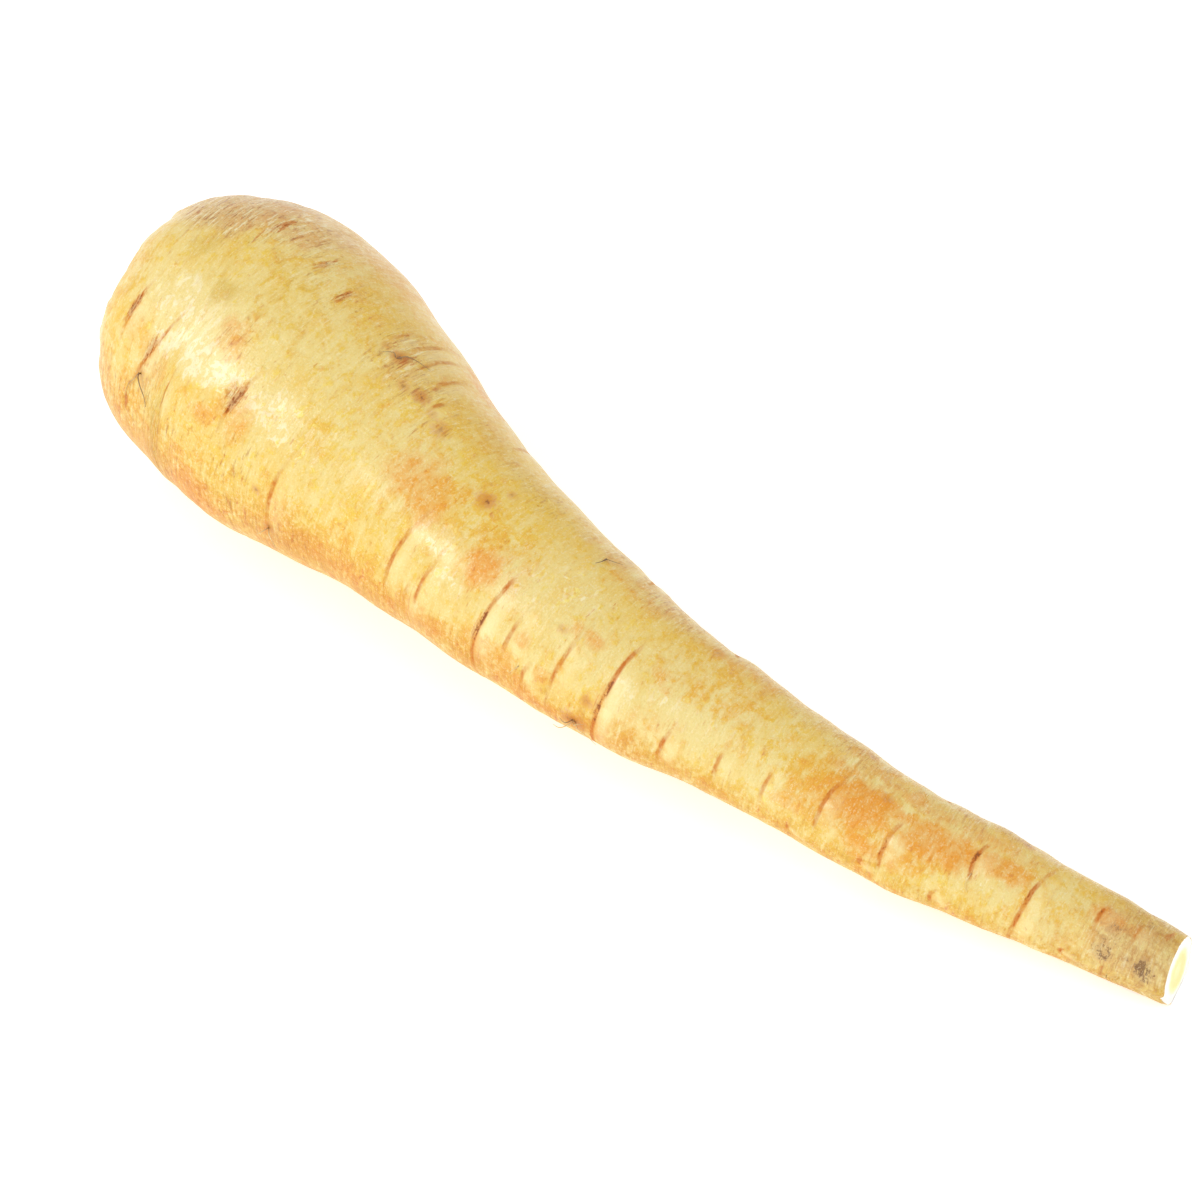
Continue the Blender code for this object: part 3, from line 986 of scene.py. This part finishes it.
def root_skin():
    skin = Finish("root_skin", CREAM)
    straight = skin.painted("straight", "Vector")
    clouds = skin.grain(straight, (34, 44, 44), 2)
    bands = skin.grain(straight, (230, 55, 55), 3, 0.6, shift=(3, 1, 2))
    fibres = skin.grain(straight, (620, 170, 170), 3, 0.6, 0.3)
    mottle = skin.grain(straight, (360, 270, 270), 4, 0.6, 0.6, shift=(1, 9, 4))
    flakes = skin.grain(straight, (1250, 800, 800), 3, 0.6, 0.5, shift=(8, 3, 1))
    speckle = skin.grain(straight, (3000, 2400, 2400), 2, 0.6, shift=(2, 6, 5))
    strokes = skin.grain(straight, (950, 210, 210), 2, 0.5, 0.3, shift=(6, 6, 1))
    curls = skin.grain(straight, (460, 380, 380), 2, 0.5, 1.2, shift=(7, 1, 8))
    threads = skin.grain(straight, (1900, 220, 220), 3, 0.65, 0.4, shift=(5, 5, 2))
    striae = skin.grain(straight, (260, 1200, 1200), 3, 0.6, 0.5, shift=(5, 8, 2))
    turned_from_light, under, far, tail, crown = map(skin.painted, ("turned_from_light", "under", "far", "tail", "crown"))
    ochre, golden, tan, pale = map(skin.painted, ("ochre", "golden", "tan", "pale"))
    rugged, dirt, scab, scar = map(skin.painted, ("rugged", "dirt", "scab", "scar"))
    halo, rib, power = map(skin.painted, ("halo", "rib", "power"))

    # The skin itself: cream to gold in soft clouds, mottled, and streaked round the root, painted paler
    # where it faces the light and more golden as it turns from it.
    tone = clouds * 0.45 + bands * 0.40 + mottle * 0.35 + fibres * 0.25 + turned_from_light * 0.55
    skin.coat(tone.ease(-0.40, 0.50), YELLOW)
    deep = mottle * 0.40 + curls * 0.35 + fibres * 0.20 - clouds * 0.30 + turned_from_light * 0.30 + golden * 0.7
    skin.coat(deep.ease(0.1, 1.0) * 0.85, GOLD)
    bleached = (pale * 1.2 - 0.15 + curls * 0.35 + mottle * 0.25).ease(0.1, 0.4)
    skin.coat(bleached * 0.75, CREAM)
    peeled = (pale + mottle * 0.5 + curls * 0.6 + clouds * 0.2).ease(0.60, 0.68)
    skin.coat(peeled * 0.50, WHITISH)
    # Painted sheen: whitish streaks, strong over the pale places and faint everywhere.
    sheen_patches = (threads * 0.6 + fibres * 0.5 + mottle * 0.2).ease(0.2, 0.6) * pale
    skin.coat(sheen_patches * 0.7, WHITISH)
    sheen_streaks = (fibres * 0.6 + mottle * 0.4 + curls * 0.3 + threads * 0.4 + pale * 0.4).ease(0.1, 0.6)
    skin.coat(sheen_streaks * (pale * 0.5 + 0.38 - golden * 0.2).clamped(), SHEEN_WHITE)
    olive = (skin.painted("olive") + mottle * 0.3 + fibres * 0.2).ease(0.15, 0.9)
    skin.coat(olive * 0.6, OLIVE)

    # Tan, streaky places, with brown threads round the root, and whitish threads of painted highlight.
    tanned = (tan + fibres * 0.3 + mottle * 0.3 + flakes * 0.2).ease(0.1, 1.0)
    skin.coat(tanned * 0.75, TAN)
    streaky = (tan * 0.75 + under * 0.45 + rugged * 0.5 + mottle * 0.2 - pale * 0.1 + 0.05).clamped()
    skin.coat((threads + flakes * 0.3).ease(0.1, 0.6) * streaky * 0.85, THREAD)
    skin.coat((threads + flakes * 0.3).ease(-0.1, -0.6) * streaky * 0.9, SHEEN_WHITE)
    worn_lines = (threads * 0.8 + strokes * 0.5 + flakes * 0.4).ease(0.2, 0.7) * rugged
    skin.coat(worn_lines * 0.85, DARK_THREAD)

    # Ochre stains, soft at the edge and wrinkled inside, and stray ones everywhere.
    stained = (ochre * 1.05 + mottle * 0.30 + fibres * 0.15 + flakes * 0.20).ease(0.05, 1.2)
    skin.coat(stained * (curls * 0.3 + 0.85).clamped(), OCHRE)
    stray = mottle * 0.6 + bands * 0.4 + clouds * 0.3 + flakes * 0.25
    stray = stray + under * 0.35 + far * 0.15 - pale * 0.2
    skin.coat(stray.ease(0.35, 0.95) * 0.52, OCHRE)
    marked = curls * 0.5 + clouds * 0.5 + ochre * 0.4 + under * 0.6 + tan * 0.3 - pale * 0.2
    marked = marked.ease(0.1, 0.9)
    scratches = (strokes + flakes * 0.35).ease(0.30, 0.65) * marked
    skin.coat(scratches * 0.6, OCHRE)
    skin.coat((strokes + flakes * 0.5).ease(0.50, 0.95) * marked * 0.70, RUST)
    rings = abs(curls + flakes * 0.2).ease(0.16, 0.0) * (mottle + under * 0.6).ease(0.0, 0.7)
    skin.coat(rings * 0.35, OCHRE)
    scuffs = (stained * 0.9 + under * 0.4) * (flakes * 0.9 + fibres * 0.35).ease(0.3, 0.7)
    skin.coat(scuffs * 0.45, RUST)
    # Deeper gold in clouds, and a little more as the skin turns from the light, as painted light.
    rich = mottle * 0.50 + curls * 0.40 + fibres * 0.35 + flakes * 0.45 + clouds * 0.2
    rich = rich + golden * 0.4 + turned_from_light * 0.2 - pale * 0.4 - far * 0.55 - tan * 0.4
    skin.coat(rich.ease(0.0, 0.5) * 0.95, SUNNY, "MULTIPLY")
    # Painted shade, orange, over the lower side of the root.
    under_shade = under * (mottle * 0.5 + curls * 0.4 + fibres * 0.4 + 0.6).clamped()
    skin.coat(under_shade * 0.85, ORANGE_SHADE, "MULTIPLY")

    # Fine painted light: painted shade in the skin's small hollows, more on the lower side, and painted
    # glints, whitish, on what stands proud.
    shade_and_glints = speckle * 0.75 + threads * 0.45 + flakes * 0.25
    skin.coat(shade_and_glints.ease(0.05, 0.75) * (under * 0.15 + 0.32), HOLLOW_SHADE, "MULTIPLY")
    skin.coat(shade_and_glints.ease(-0.05, -0.65) * (pale * 0.3 + 0.42).clamped(), SHEEN_WHITE)
    dusty = tail * (striae * 0.5 + mottle * 0.5 + flakes * 0.4 + 0.6).clamped()
    skin.coat(dusty, DUSTY, "MULTIPLY")
    flecks = (striae * 0.5 + speckle * 0.5 + flakes * 0.4).ease(0.25, 0.65) * (tail * 0.5 + tan * 0.45)
    skin.coat(flecks, THREAD)

    # Creases: a stained halo, a lip of painted sheen, ivory, on the tail side, and a thin rusty line,
    # broken and crumbly.
    haloed = (halo * 0.8 + mottle * 0.5 + fibres * 0.3).ease(0.3, 1.0) * (1 - rib * 0.6)
    skin.coat(haloed * 0.40, OCHRE)
    lip_sheen = (rib * 1.1 + fibres * 0.25 + flakes * 0.15 - 0.1).clamped()
    skin.coat(lip_sheen * (0.6 - ochre * 0.35 + threads * 0.25).clamped(), IVORY)
    away = skin.painted("gap") + fibres * 0.05 + flakes * 0.06 + speckle * 0.03
    reach = abs(away) / CREASE_REACH
    fringe = reach.ease(2.2, 0.8) * (power * 0.6 + strokes * 0.7 + flakes * 0.5).ease(0.3, 1.1)
    skin.coat(fringe * 0.4, RUST)
    line = reach.ease(1.3, 0.4) * power.ease(0.0, 0.4)
    skin.coat(line * (strokes * 0.6 + flakes * 0.4 + 0.7).clamped(), CREASE)
    echo = abs(away + 0.8 + mottle * 0.4).ease(0.14, 0.02)
    echo = echo * (power + strokes * 0.7 + flakes * 0.4).ease(0.7, 1.3)
    skin.coat(echo * 0.5, RUST)
    core = reach.ease(1.2, 0.4) * (power + flakes * 0.6 + speckle * 0.4 + strokes * 0.6).ease(0.8, 1.3)
    skin.coat(core * 0.88, UMBER)

    # Scabs and spots: brown crumbs in a stained ring.
    crusted = (scab * 0.95 + threads * 0.55 + strokes * 0.45 + flakes * 0.40).ease(0.35, 0.95)
    skin.coat(crusted * 0.8, SCAB_RUST)
    peeling = (scab - threads * 0.9 - strokes * 0.3 + speckle * 0.3).ease(0.75, 1.1)
    skin.coat(peeling * 0.30, IVORY)
    cracked = (scab + threads * 0.7 + strokes * 0.5 + flakes * 0.6).ease(1.05, 1.45)
    skin.coat(cracked * 0.85, SCAB_UMBER)
    crumbled = (scab - strokes * 0.3 - flakes * 0.7 + speckle * 0.5).ease(0.85, 1.2)
    skin.coat(crumbled * 0.15, CRUMBS)
    for spot_along, spot_around, size, dark in SPOTS:
        centre = ring_points(np.array([spot_along]), np.array([spot_around]))[0] * MM
        gap = skin.distance(straight, tuple(float(c) for c in centre)) * (1 / (size * MM))
        ragged = gap + mottle * 0.45 + flakes * 0.9 + speckle * 0.4
        skin.coat(ragged.ease(2.2, 0.7) * 0.6 * dark, RUST)
        skin.coat(ragged.ease(0.7, -0.2) * 0.8 * dark, UMBER)

    soiled = (dirt * 0.9 + mottle * 0.6 + flakes * 0.4 + fibres * 0.3).ease(0.25, 1.3)
    skin.coat(soiled * 0.55, SOIL)
    grimed = (dirt * 1.1 + speckle * 0.5 + flakes * 0.8 + mottle * 0.3).ease(1.05, 1.45)
    skin.coat(grimed * 0.85, DARK_SOIL)
    skin.coat(soiled * (speckle + flakes * 0.5).ease(0.42, 0.7) * 0.5, CRUMBS)

    # Corky bark in the crown, pale and dark by its rings of leaf scars, and ragged where it creeps out.
    cork = skin.grain(straight, (700, 700, 700), 5, 0.65, shift=(4, 4, 4))
    bark = skin.mix((cork + speckle * 0.4).ease(-0.5, 0.3), DARK_BARK, BARK)
    bark = skin.mix((cork - scar * 0.6 + 0.3).ease(0.1, 0.7), bark, PALE_BARK)
    bark = skin.mix((scar + cork * 0.3).ease(0.75, 1.1) * 0.6, bark, DARK_BARK)
    skin.coat((crown * 1.5 + mottle * 0.4).ease(0.1, 0.9) * 0.75, TAN)
    skin.coat((crown * 1.4 + cork * 0.55 + flakes * 0.3 - 0.35).ease(0.1, 0.75), bark)

    height = fibres * 0.00006 + flakes * 0.00005 + mottle * 0.00010 + speckle * 0.00001
    height = height + threads * (tan * 0.00008 + under * 0.00003 + rugged * 0.00006 + 0.00003)
    height = height - line * 0.00004 + scab * flakes * 0.00020
    height = height + cork * crown * 0.00016 + speckle * soiled * 0.00003
    rough = 0.38 + mottle * 0.06 + flakes * 0.08 + line * 0.25 + stained * 0.05 + scab * 0.3
    rough = rough + crown * 0.3 + tanned * 0.10 + soiled * 0.2
    return skin.finished(
        Roughness=rough.clamped(),
        Normal=skin.bump(height),
        Subsurface_Weight=0.06,
        Subsurface_Radius=(1.0, 0.6, 0.3),
        Subsurface_Scale=0.001,
        Coat_Weight=(0.38 - under * 0.3 - line * 0.3 - scab * 0.35 - crown * 0.4).clamped(),
        Coat_Roughness=0.24,
        IOR=1.45,
    )


def cut_flesh():
    flesh = Finish("cut_flesh", FLESH)
    straight = flesh.painted("straight", "Vector")
    from_middle = flesh.distance(straight, (LENGTH * MM, 0.0, 0.0)) * (1 / MM)
    grain = flesh.grain(straight, (900, 900, 900), 4)
    fine = flesh.grain(straight, (3200, 3200, 3200), 3, shift=(1, 2, 3))
    wobble = from_middle + grain * 0.35
    flesh.coat(wobble.ease(5.0, 3.6), CORE)
    flesh.coat(wobble.ease(3.7, 3.1) * 0.55, CORE_RING)
    flesh.coat(wobble.ease(2.2, 0.8) * 0.6, CORE_HEART)
    flesh.coat(wobble.ease(6.45, 6.65), SKIN_EDGE)
    flesh.coat(fine.ease(0.0, 0.8) * 0.3, FLESH_GRAIN)
    return flesh.finished(
        Roughness=(0.42 + fine * 0.08).clamped(),
        Normal=flesh.bump(grain * 0.00003 + fine * 0.00001),
        Subsurface_Weight=0.25,
        Subsurface_Radius=(1.0, 0.8, 0.5),
        Subsurface_Scale=0.002,
    )


def leaf_stalk_finish():
    stalk = Finish("leaf_stalk", STALK_OLIVE)
    place = stalk.place()
    rise = stalk.painted("rise")
    strands = stalk.grain(place, (160, 2400, 2400), 4, 0.6)
    blotch = stalk.grain(place, (300, 500, 500), 4, shift=(2, 2, 2))
    stalk.coat(strands.ease(-0.4, 0.4), STALK_STRAW)
    stalk.coat(blotch.ease(-0.1, 0.6) * 0.7, STALK_TAN)
    dry = (rise + blotch * 0.22 + strands * 0.12).ease(0.45, 0.85)
    stalk.coat(dry * 0.8, STALK_DRY)
    stalk.coat((rise + strands * 0.15).ease(0.86, 1.0) * 0.8, STALK_TOP)
    stalk.coat((strands + blotch).ease(0.1, 0.7) * rise * 0.8, STALK_PALE)
    return stalk.finished(
        Roughness=(0.55 + dry * 0.25).clamped(),
        Normal=stalk.bump(strands * 0.00008 + blotch * 0.00003),
        Subsurface_Weight=0.05,
        Subsurface_Scale=0.001,
    )


def dry_fibre_finish():
    fibre = Finish("dry_fibre", FIBRE_BROWN)
    tint = fibre.grain(fibre.place(), (300, 300, 300), 3)
    fibre.coat(tint.ease(-0.4, 0.4), FIBRE_STRAW)
    return fibre.finished(Roughness=0.7, Normal=fibre.bump(tint * 0.00003))


def rootlet_finish():
    rootlet = Finish("rootlet", ROOTLET_TAN)
    tint = rootlet.grain(rootlet.place(), (350, 350, 350), 3)
    rise = rootlet.painted("rise")
    dark = rootlet.painted("dark")
    rootlet.coat(tint.ease(-0.4, 0.4), ROOTLET_PALE)
    rootlet.coat(rise.ease(0.3, 0.0) * 0.6, ROOTLET_FOOT)
    rootlet.coat(dark, ROOTLET_DARK)
    return rootlet.finished(
        Roughness=0.5,
        Normal=rootlet.bump(tint * 0.00002),
        Subsurface_Weight=0.1,
        Subsurface_Scale=0.0006,
    )


# ---- Leaf stalk bases ----

# Which stalk, spread from the crown's axis (mm), turn (degrees), width, thickness, height (mm), lean.
STALKS = [
    ("outer_1", 6.6, 12, 8.6, 3.4, 9.8, 0.12),
    ("outer_2", 6.4, 100, 7.4, 3.0, 6.8, 0.20),
    ("outer_3", 6.7, 190, 8.2, 3.6, 8.6, 0.10),
    ("outer_4", 6.5, 280, 7.8, 3.2, 7.6, 0.16),
    ("inner_1", 2.6, 50, 4.0, 2.2, 9.4, 0.03),
    ("inner_2", 2.6, 170, 3.7, 2.1, 7.2, 0.06),
    ("inner_3", 2.6, 292, 4.0, 2.2, 8.3, 0.04),
]
# How deep a stalk's foot stands in the crown's floor, and how much its cut slopes.
STALK_FOOT = 1.4
STALK_CUT_SLOPE = 0.22
# A stalk moves at most this far, in mm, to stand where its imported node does.
STALK_MOVE = 0.4


def stalk_blank(name):
    """An upright oval stalk, 1 wide, 1 thick and 1 high, hollowed at its cut top."""
    deselect_all()
    bpy.ops.mesh.primitive_cylinder_add(vertices=24, radius=0.5, depth=1, location=(0, 0, 0.5))
    stalk = named(name)
    settle(stalk)
    pick(stalk, faces=lambda centre, normal: normal.z > 0.9)
    bpy.ops.mesh.inset(thickness=0.05)
    bpy.ops.mesh.inset(thickness=0.07)
    bpy.ops.mesh.extrude_region_move(TRANSFORM_OT_translate={"value": (0, 0, -0.10)})
    bpy.ops.transform.resize(value=(0.82, 0.82, 1), center_override=(0, 0, 0.9))
    bpy.ops.mesh.inset(thickness=0.10)
    bpy.ops.mesh.extrude_region_move(TRANSFORM_OT_translate={"value": (0, 0, -0.12)})
    bpy.ops.transform.resize(value=(0.6, 0.6, 1), center_override=(0, 0, 0.78))
    pick(stalk, edges=lambda a, b: abs(a.z - b.z) > 0.9)
    bpy.ops.mesh.subdivide(number_cuts=9)
    bpy.ops.object.mode_set(mode="OBJECT")
    smoothed(stalk, 1)
    return stalk


def crown_matrix():
    """Frame of the crown, in mm: origin on the crown's floor, +Z out of the crown."""
    offset, slope = bow_at(CROWN_FLOOR)
    facing = Vector((-1, -slope, 0)).to_track_quat("Z", "Y").to_matrix().to_4x4()
    laying = Matrix.Translation(RESTING_PLACE) @ Matrix.Rotation(DIP, 4, "Y")
    return laying @ Matrix.Translation((CROWN_FLOOR, offset, 0)) @ facing


def leaf_stalk(number, finish, which, spread, turn, width, thickness, height, lean):
    """One trimmed stalk base, ribbed outside, split and dried at the top, wrapped round the crown."""
    stalk = stalk_blank(f"leaf_stalk_{which}")
    node = f"leaf_stub_{which}"
    spots = corners(stalk) * MM
    x, y, z = spots.T
    around = np.arctan2(y, x)
    outside = np.clip(np.hypot(x, y) * 2, 0, 1)
    rise = np.clip(z, 0, 1)
    seeded = spots * 10 + number * 3.7
    ribs = np.cos(around * 11 + 0.6 * lumps(seeded, (3, 3, 3), seed=21))
    waist = 1 - 0.16 * rise - 0.05 * np.sin(rise * 9 + number)
    swell = 1 + 0.22 * ease(rise, 0.35, 0.0)
    girth = waist * swell * (1 + 0.055 * ribs * ease(outside, 0.8, 1.0) * (x > -0.3))
    ragged = 0.045 * lumps(seeded, (1.1, 1.1, 9), seed=22) + 0.03 * lumps(seeded, (0.5, 0.5, 9), seed=23)
    lifted = z + ragged * ease(z, 0.6, 1.0)
    across = y * girth * width
    high = lifted * (height + STALK_CUT_SLOPE * across + STALK_FOOT) - STALK_FOOT
    out = spread + x * girth * thickness + np.maximum(high, 0) * lean
    angle = across / spread
    local = np.stack([out * np.cos(angle), out * np.sin(angle), high], -1)
    matrix = np.array(crown_matrix() @ Matrix.Rotation(math.radians(turn), 4, "Z"))
    placed = local @ matrix[:3, :3].T + matrix[:3, 3]
    middle = np.array(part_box(node)).mean(0) / MM
    standing = placed[high > 0]
    away = middle - (standing.min(0) + standing.max(0)) / 2
    move_corners(stalk, (placed + np.clip(away, -STALK_MOVE, STALK_MOVE)) * MM)
    store(stalk, "rise", rise)
    stalk.data.materials.append(finish)
    only(stalk)
    bpy.ops.object.shade_smooth()
    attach(stalk, BODY)
    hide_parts(node)


# ---- Rootlets and fibres ----

# A strand's direction is measured this far ahead and behind, in mm, and its sides are turned by a
# direction that no strand runs in.
STRAND_STEP = 0.05
STRAND_UP = (0.31, 0.17, 0.94)


def strand_blank():
    """A straight rootlet up Z, 1 long, 1 in radius at its foot, and thin at its tip."""
    deselect_all()
    bpy.ops.mesh.primitive_cone_add(vertices=5, radius1=1, radius2=0.3, depth=1, location=(0, 0, 0.5))
    blank = named("strand_blank")
    settle(blank)
    pick(blank, edges=lambda a, b: abs(a.z - b.z) > 0.9)
    bpy.ops.mesh.subdivide(number_cuts=9)
    bpy.ops.object.mode_set(mode="OBJECT")
    return blank


def unit(vectors):
    return vectors / (np.linalg.norm(vectors, axis=1)[:, None] + 1e-9)


def bent(blank, path, radius, dark):
    """A copy of the blank, laid along a path of points in mm."""
    strand = blank.copy()
    strand.data = blank.data.copy()
    bpy.context.scene.collection.objects.link(strand)
    spots = corners(strand) * MM
    line = smooth_line(path, steps=8)
    run = travelled(line)

    def on_line(stops):
        return np.stack([np.interp(stops, run, axis) for axis in line.T], -1)

    t = spots[:, 2] * run[-1]
    tangent = unit(on_line(t + STRAND_STEP) - on_line(t - STRAND_STEP))
    side = unit(np.cross(tangent, STRAND_UP))
    upward = np.cross(side, tangent)
    placed = on_line(t) + (side * spots[:, :1] + upward * spots[:, 1:2]) * radius
    move_corners(strand, placed * MM)
    store(strand, "rise", spots[:, 2].copy())
    store(strand, "dark", np.full(len(spots), float(dark)))
    return strand


def gathered(name, strands, finish):
    """Joins strands into one piece."""
    deselect_all()
    for strand in strands:
        strand.select_set(True)
    bpy.context.view_layer.objects.active = strands[0]
    bpy.ops.object.join()
    piece = named(name)
    piece.data.materials.append(finish)
    bpy.ops.object.shade_smooth()
    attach(piece, BODY)


# Rootlets that show: points as (along, around, height over the skin in mm), radius (mm), how dark.
ROOTLETS = [
    ([(17.4, 66, 0.0), (17.8, 68, 1.0), (18.8, 71, 0.7), (20.4, 75, 0.4), (21.8, 80, 0.3)], 0.16, 0.75),
    ([(17.2, 67, 0.2), (16.6, 70, 0.6), (15.4, 76, 0.5), (14.6, 84, 0.3)], 0.12, 0.35),
    ([(60.6, -13, 0.0), (61.4, -14, 0.7), (63.0, -17, 0.6), (65.6, -21, 0.4)], 0.13, 0.7),
    ([(60.4, -13, 0.0), (59.6, -11, 0.6), (58.4, -8, 0.4)], 0.11, 0.6),
    ([(117.6, -25, 0.2), (117.8, -20, 0.8), (117.4, -15, 0.5)], 0.14, 1.0),
    ([(117.6, -25, 0.2), (118.6, -28, 0.6), (120.2, -32, 0.3)], 0.10, 0.6),
    ([(130.6, 97, 0.0), (130.0, 99, 1.4), (128.8, 102, 2.0), (127.2, 104, 1.6)], 0.16, 0.0),
    ([(130.6, 96, 0.0), (131.2, 94, 1.2), (132.2, 91, 1.2), (133.0, 89, 0.8)], 0.14, 0.15),
    ([(130.2, 97, 0.0), (129.4, 96, 1.1), (128.2, 94, 1.3)], 0.14, 0.5),
    ([(130.8, 98, 0.0), (132.0, 99, 1.1), (134.0, 101, 0.9), (135.6, 104, 1.0)], 0.13, 0.0),
    ([(59.6, 97, 0.0), (59.0, 99, 1.3), (57.8, 102, 1.6)], 0.16, 0.1),
    ([(59.6, 98, 0.0), (60.6, 99, 1.2), (61.6, 103, 1.4), (61.4, 107, 1.0)], 0.14, 0.0),
    ([(210.0, 36, 0.1), (209.6, 44, 0.3), (209.8, 52, 0.3), (210.6, 60, 0.2)], 0.10, 0.0),
    ([(118.0, 76, 0.1), (117.0, 82, 0.5), (116.6, 88, 0.4)], 0.09, 0.2),
]
HIDDEN_TUFTS = 15
TUFT_SEED = 31
# A tuft's rootlets sweep round by up to this many degrees times mm, over the radius there.
TUFT_SWEEP = 620
# A tuft's rootlet that comes nearer to the ground than this, in mm, is left out.
TUFT_CLEARANCE = 1.5


def rootlets(blank, root_piece, root):
    """Rootlets on the skin: those listed, and tufts from a fixed draw on the far side."""
    places = corners(root_piece)
    normals = corner_normals(root_piece)

    def over_skin(spots):
        """Places, in mm, of points given as (along, around, height over the skin)."""
        found = []
        for along, around, height in spots:
            across = np.radians(turned_away(root.around, around)) * section_radius(along)
            nearest = int(np.argmin((root.along - along) ** 2 + across**2))
            found.append(places[nearest] + normals[nearest] * height)
        return found

    strands = [bent(blank, over_skin(spots), radius, dark) for spots, radius, dark in ROOTLETS]
    draw = np.random.default_rng(TUFT_SEED)
    for _ in range(HIDDEN_TUFTS):
        start = draw.uniform(30, 215)
        turn = draw.uniform(-150, -114)
        for _ in range(draw.integers(2, 5)):
            run = draw.uniform(-7, 7)
            sweep = draw.uniform(-1, 1) * TUFT_SWEEP / float(section_radius(start))
            spots = []
            for t in np.linspace(0, 1, 6):
                height = 1.3 * math.sin(math.pi * t) * draw.uniform(0.4, 1.0) + 0.2
                wave = 0.9 * math.sin(5 * t + draw.uniform(0, 6))
                spots.append((start + run * t + wave * t, turn + sweep * t * 0.6, height * (t > 0)))
            path = over_skin(spots)
            if min(place[2] for place in path) < TUFT_CLEARANCE:
                continue
            strands.append(bent(blank, path, draw.uniform(0.10, 0.20), draw.uniform(0, 0.5)))
    gathered("side_rootlets", strands, rootlet_finish())


CROWN_FIBRES = 70
FIBRE_SEED = 47
# How deep a fibre's foot stands in the crown's floor, in mm.
FIBRE_FOOT = 0.6


def crown_fibres(blank):
    """Dry fibres of old leaf bases, standing in the pit round the stalks and bent over its rim."""
    draw = np.random.default_rng(FIBRE_SEED)
    matrix = np.array(crown_matrix())
    strands = []
    for _ in range(CROWN_FIBRES):
        turn = draw.uniform(0, 2 * math.pi)
        foot = draw.uniform(8.6, 11.2)
        reach = draw.uniform(-1.5, 3.2)
        height = draw.uniform(2.5, 8.5)
        twist = draw.uniform(-0.5, 0.5)
        path = []
        for t in np.linspace(0, 1, 5):
            angle = turn + twist * t * t
            out = foot + reach * t**1.6 + draw.uniform(-0.2, 0.2)
            high = (height + FIBRE_FOOT) * t - FIBRE_FOOT
            spot = np.array([out * math.cos(angle), out * math.sin(angle), high])
            path.append(matrix[:3, :3] @ spot + matrix[:3, 3])
        strands.append(bent(blank, path, draw.uniform(0.10, 0.26), 0))
    gathered("crown_fibres", strands, dry_fibre_finish())


# ---- Studio ----

# Lights: name, azimuth and elevation (degrees), size (m), power (W).
LIGHTS = [
    ("soft_key", -34, 40, 0.40, 6.0),
    ("soft_fill", 100, 28, 0.70, 2.2),
]
LIGHT_DISTANCE = 1.3
SKY_STRENGTH = 0.735
# The floor is a light table: it glows a little, and lies just under the root.
FLOOR_SIZE = 8
FLOOR_DROP = 0.0001
FLOOR_GLOW = 0.39
# Camera: azimuth and elevation (degrees), distance and target (m), lens and sensor width (mm).
CAMERA_ANGLES = (37.2, 49.0)
CAMERA_DISTANCE = 0.9023
CAMERA_TARGET = (-0.0180, 0.0101, 0.0)
LENS = 135
SENSOR_WIDTH = 36


def studio_floor():
    deselect_all()
    bpy.ops.mesh.primitive_plane_add(size=FLOOR_SIZE, location=(0, 0, -FLOOR_DROP))
    floor = named("studio_floor")
    settle(floor)
    table = Finish("light_table", TABLE)
    table.coat(table.grain(table.place(), (60, 60, 60), 3).ease(-1, 1), TABLE_TOOTH)
    glow = {"Emission_Color": (1.0, 1.0, 1.0, 1.0), "Emission_Strength": FLOOR_GLOW}
    floor.data.materials.append(table.finished(Roughness=0.9, Specular_IOR_Level=0.1, **glow))
    floor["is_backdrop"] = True


def from_angles(azimuth, elevation):
    """Direction from the middle of the floor, with azimuth 0 towards -Y."""
    turn = math.radians(azimuth)
    rise = math.radians(elevation)
    return Vector((math.sin(turn) * math.cos(rise), -math.cos(turn) * math.cos(rise), math.sin(rise)))


def aimed(thing, azimuth, elevation):
    """Turns a light or the camera back along the direction that it stands in."""
    thing.rotation_euler = from_angles(azimuth, elevation).to_track_quat("Z", "Y").to_euler()


def soft_light(name, azimuth, elevation, size, power):
    bpy.ops.object.light_add(type="AREA", location=from_angles(azimuth, elevation) * LIGHT_DISTANCE)
    light = bpy.context.object
    light.name = name
    aimed(light, azimuth, elevation)
    light.data.shape = "SQUARE"
    light.data.size = size
    light.data.energy = power


def studio():
    studio_floor()
    world = bpy.data.worlds.new("studio")
    world.use_nodes = True
    background = world.node_tree.nodes["Background"]
    background.inputs["Color"].default_value = (1.0, 1.0, 1.0, 1.0)
    background.inputs["Strength"].default_value = SKY_STRENGTH
    bpy.context.scene.world = world
    for light in LIGHTS:
        soft_light(*light)
    bpy.context.scene.view_settings.view_transform = "Standard"


def camera():
    location = Vector(CAMERA_TARGET) + from_angles(*CAMERA_ANGLES) * CAMERA_DISTANCE
    bpy.ops.object.camera_add(location=location)
    eye = bpy.context.object
    eye.name = "camera"
    aimed(eye, *CAMERA_ANGLES)
    eye.data.lens = LENS
    eye.data.sensor_width = SENSOR_WIDTH
    eye.data.clip_start = 0.01
    bpy.context.scene.camera = eye


# ---- Making it all ----

root_piece, root = parsnip_root()
stalk_finish = leaf_stalk_finish()
for number, stalk in enumerate(STALKS):
    leaf_stalk(number, stalk_finish, *stalk)
blank = strand_blank()
rootlets(blank, root_piece, root)
crown_fibres(blank)
bpy.data.objects.remove(blank, do_unlink=True)
studio()
camera()

boxes = {"cad": cad_box, "visual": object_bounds()}
{name: [list(corner) for corner in box] for name, box in boxes.items()}
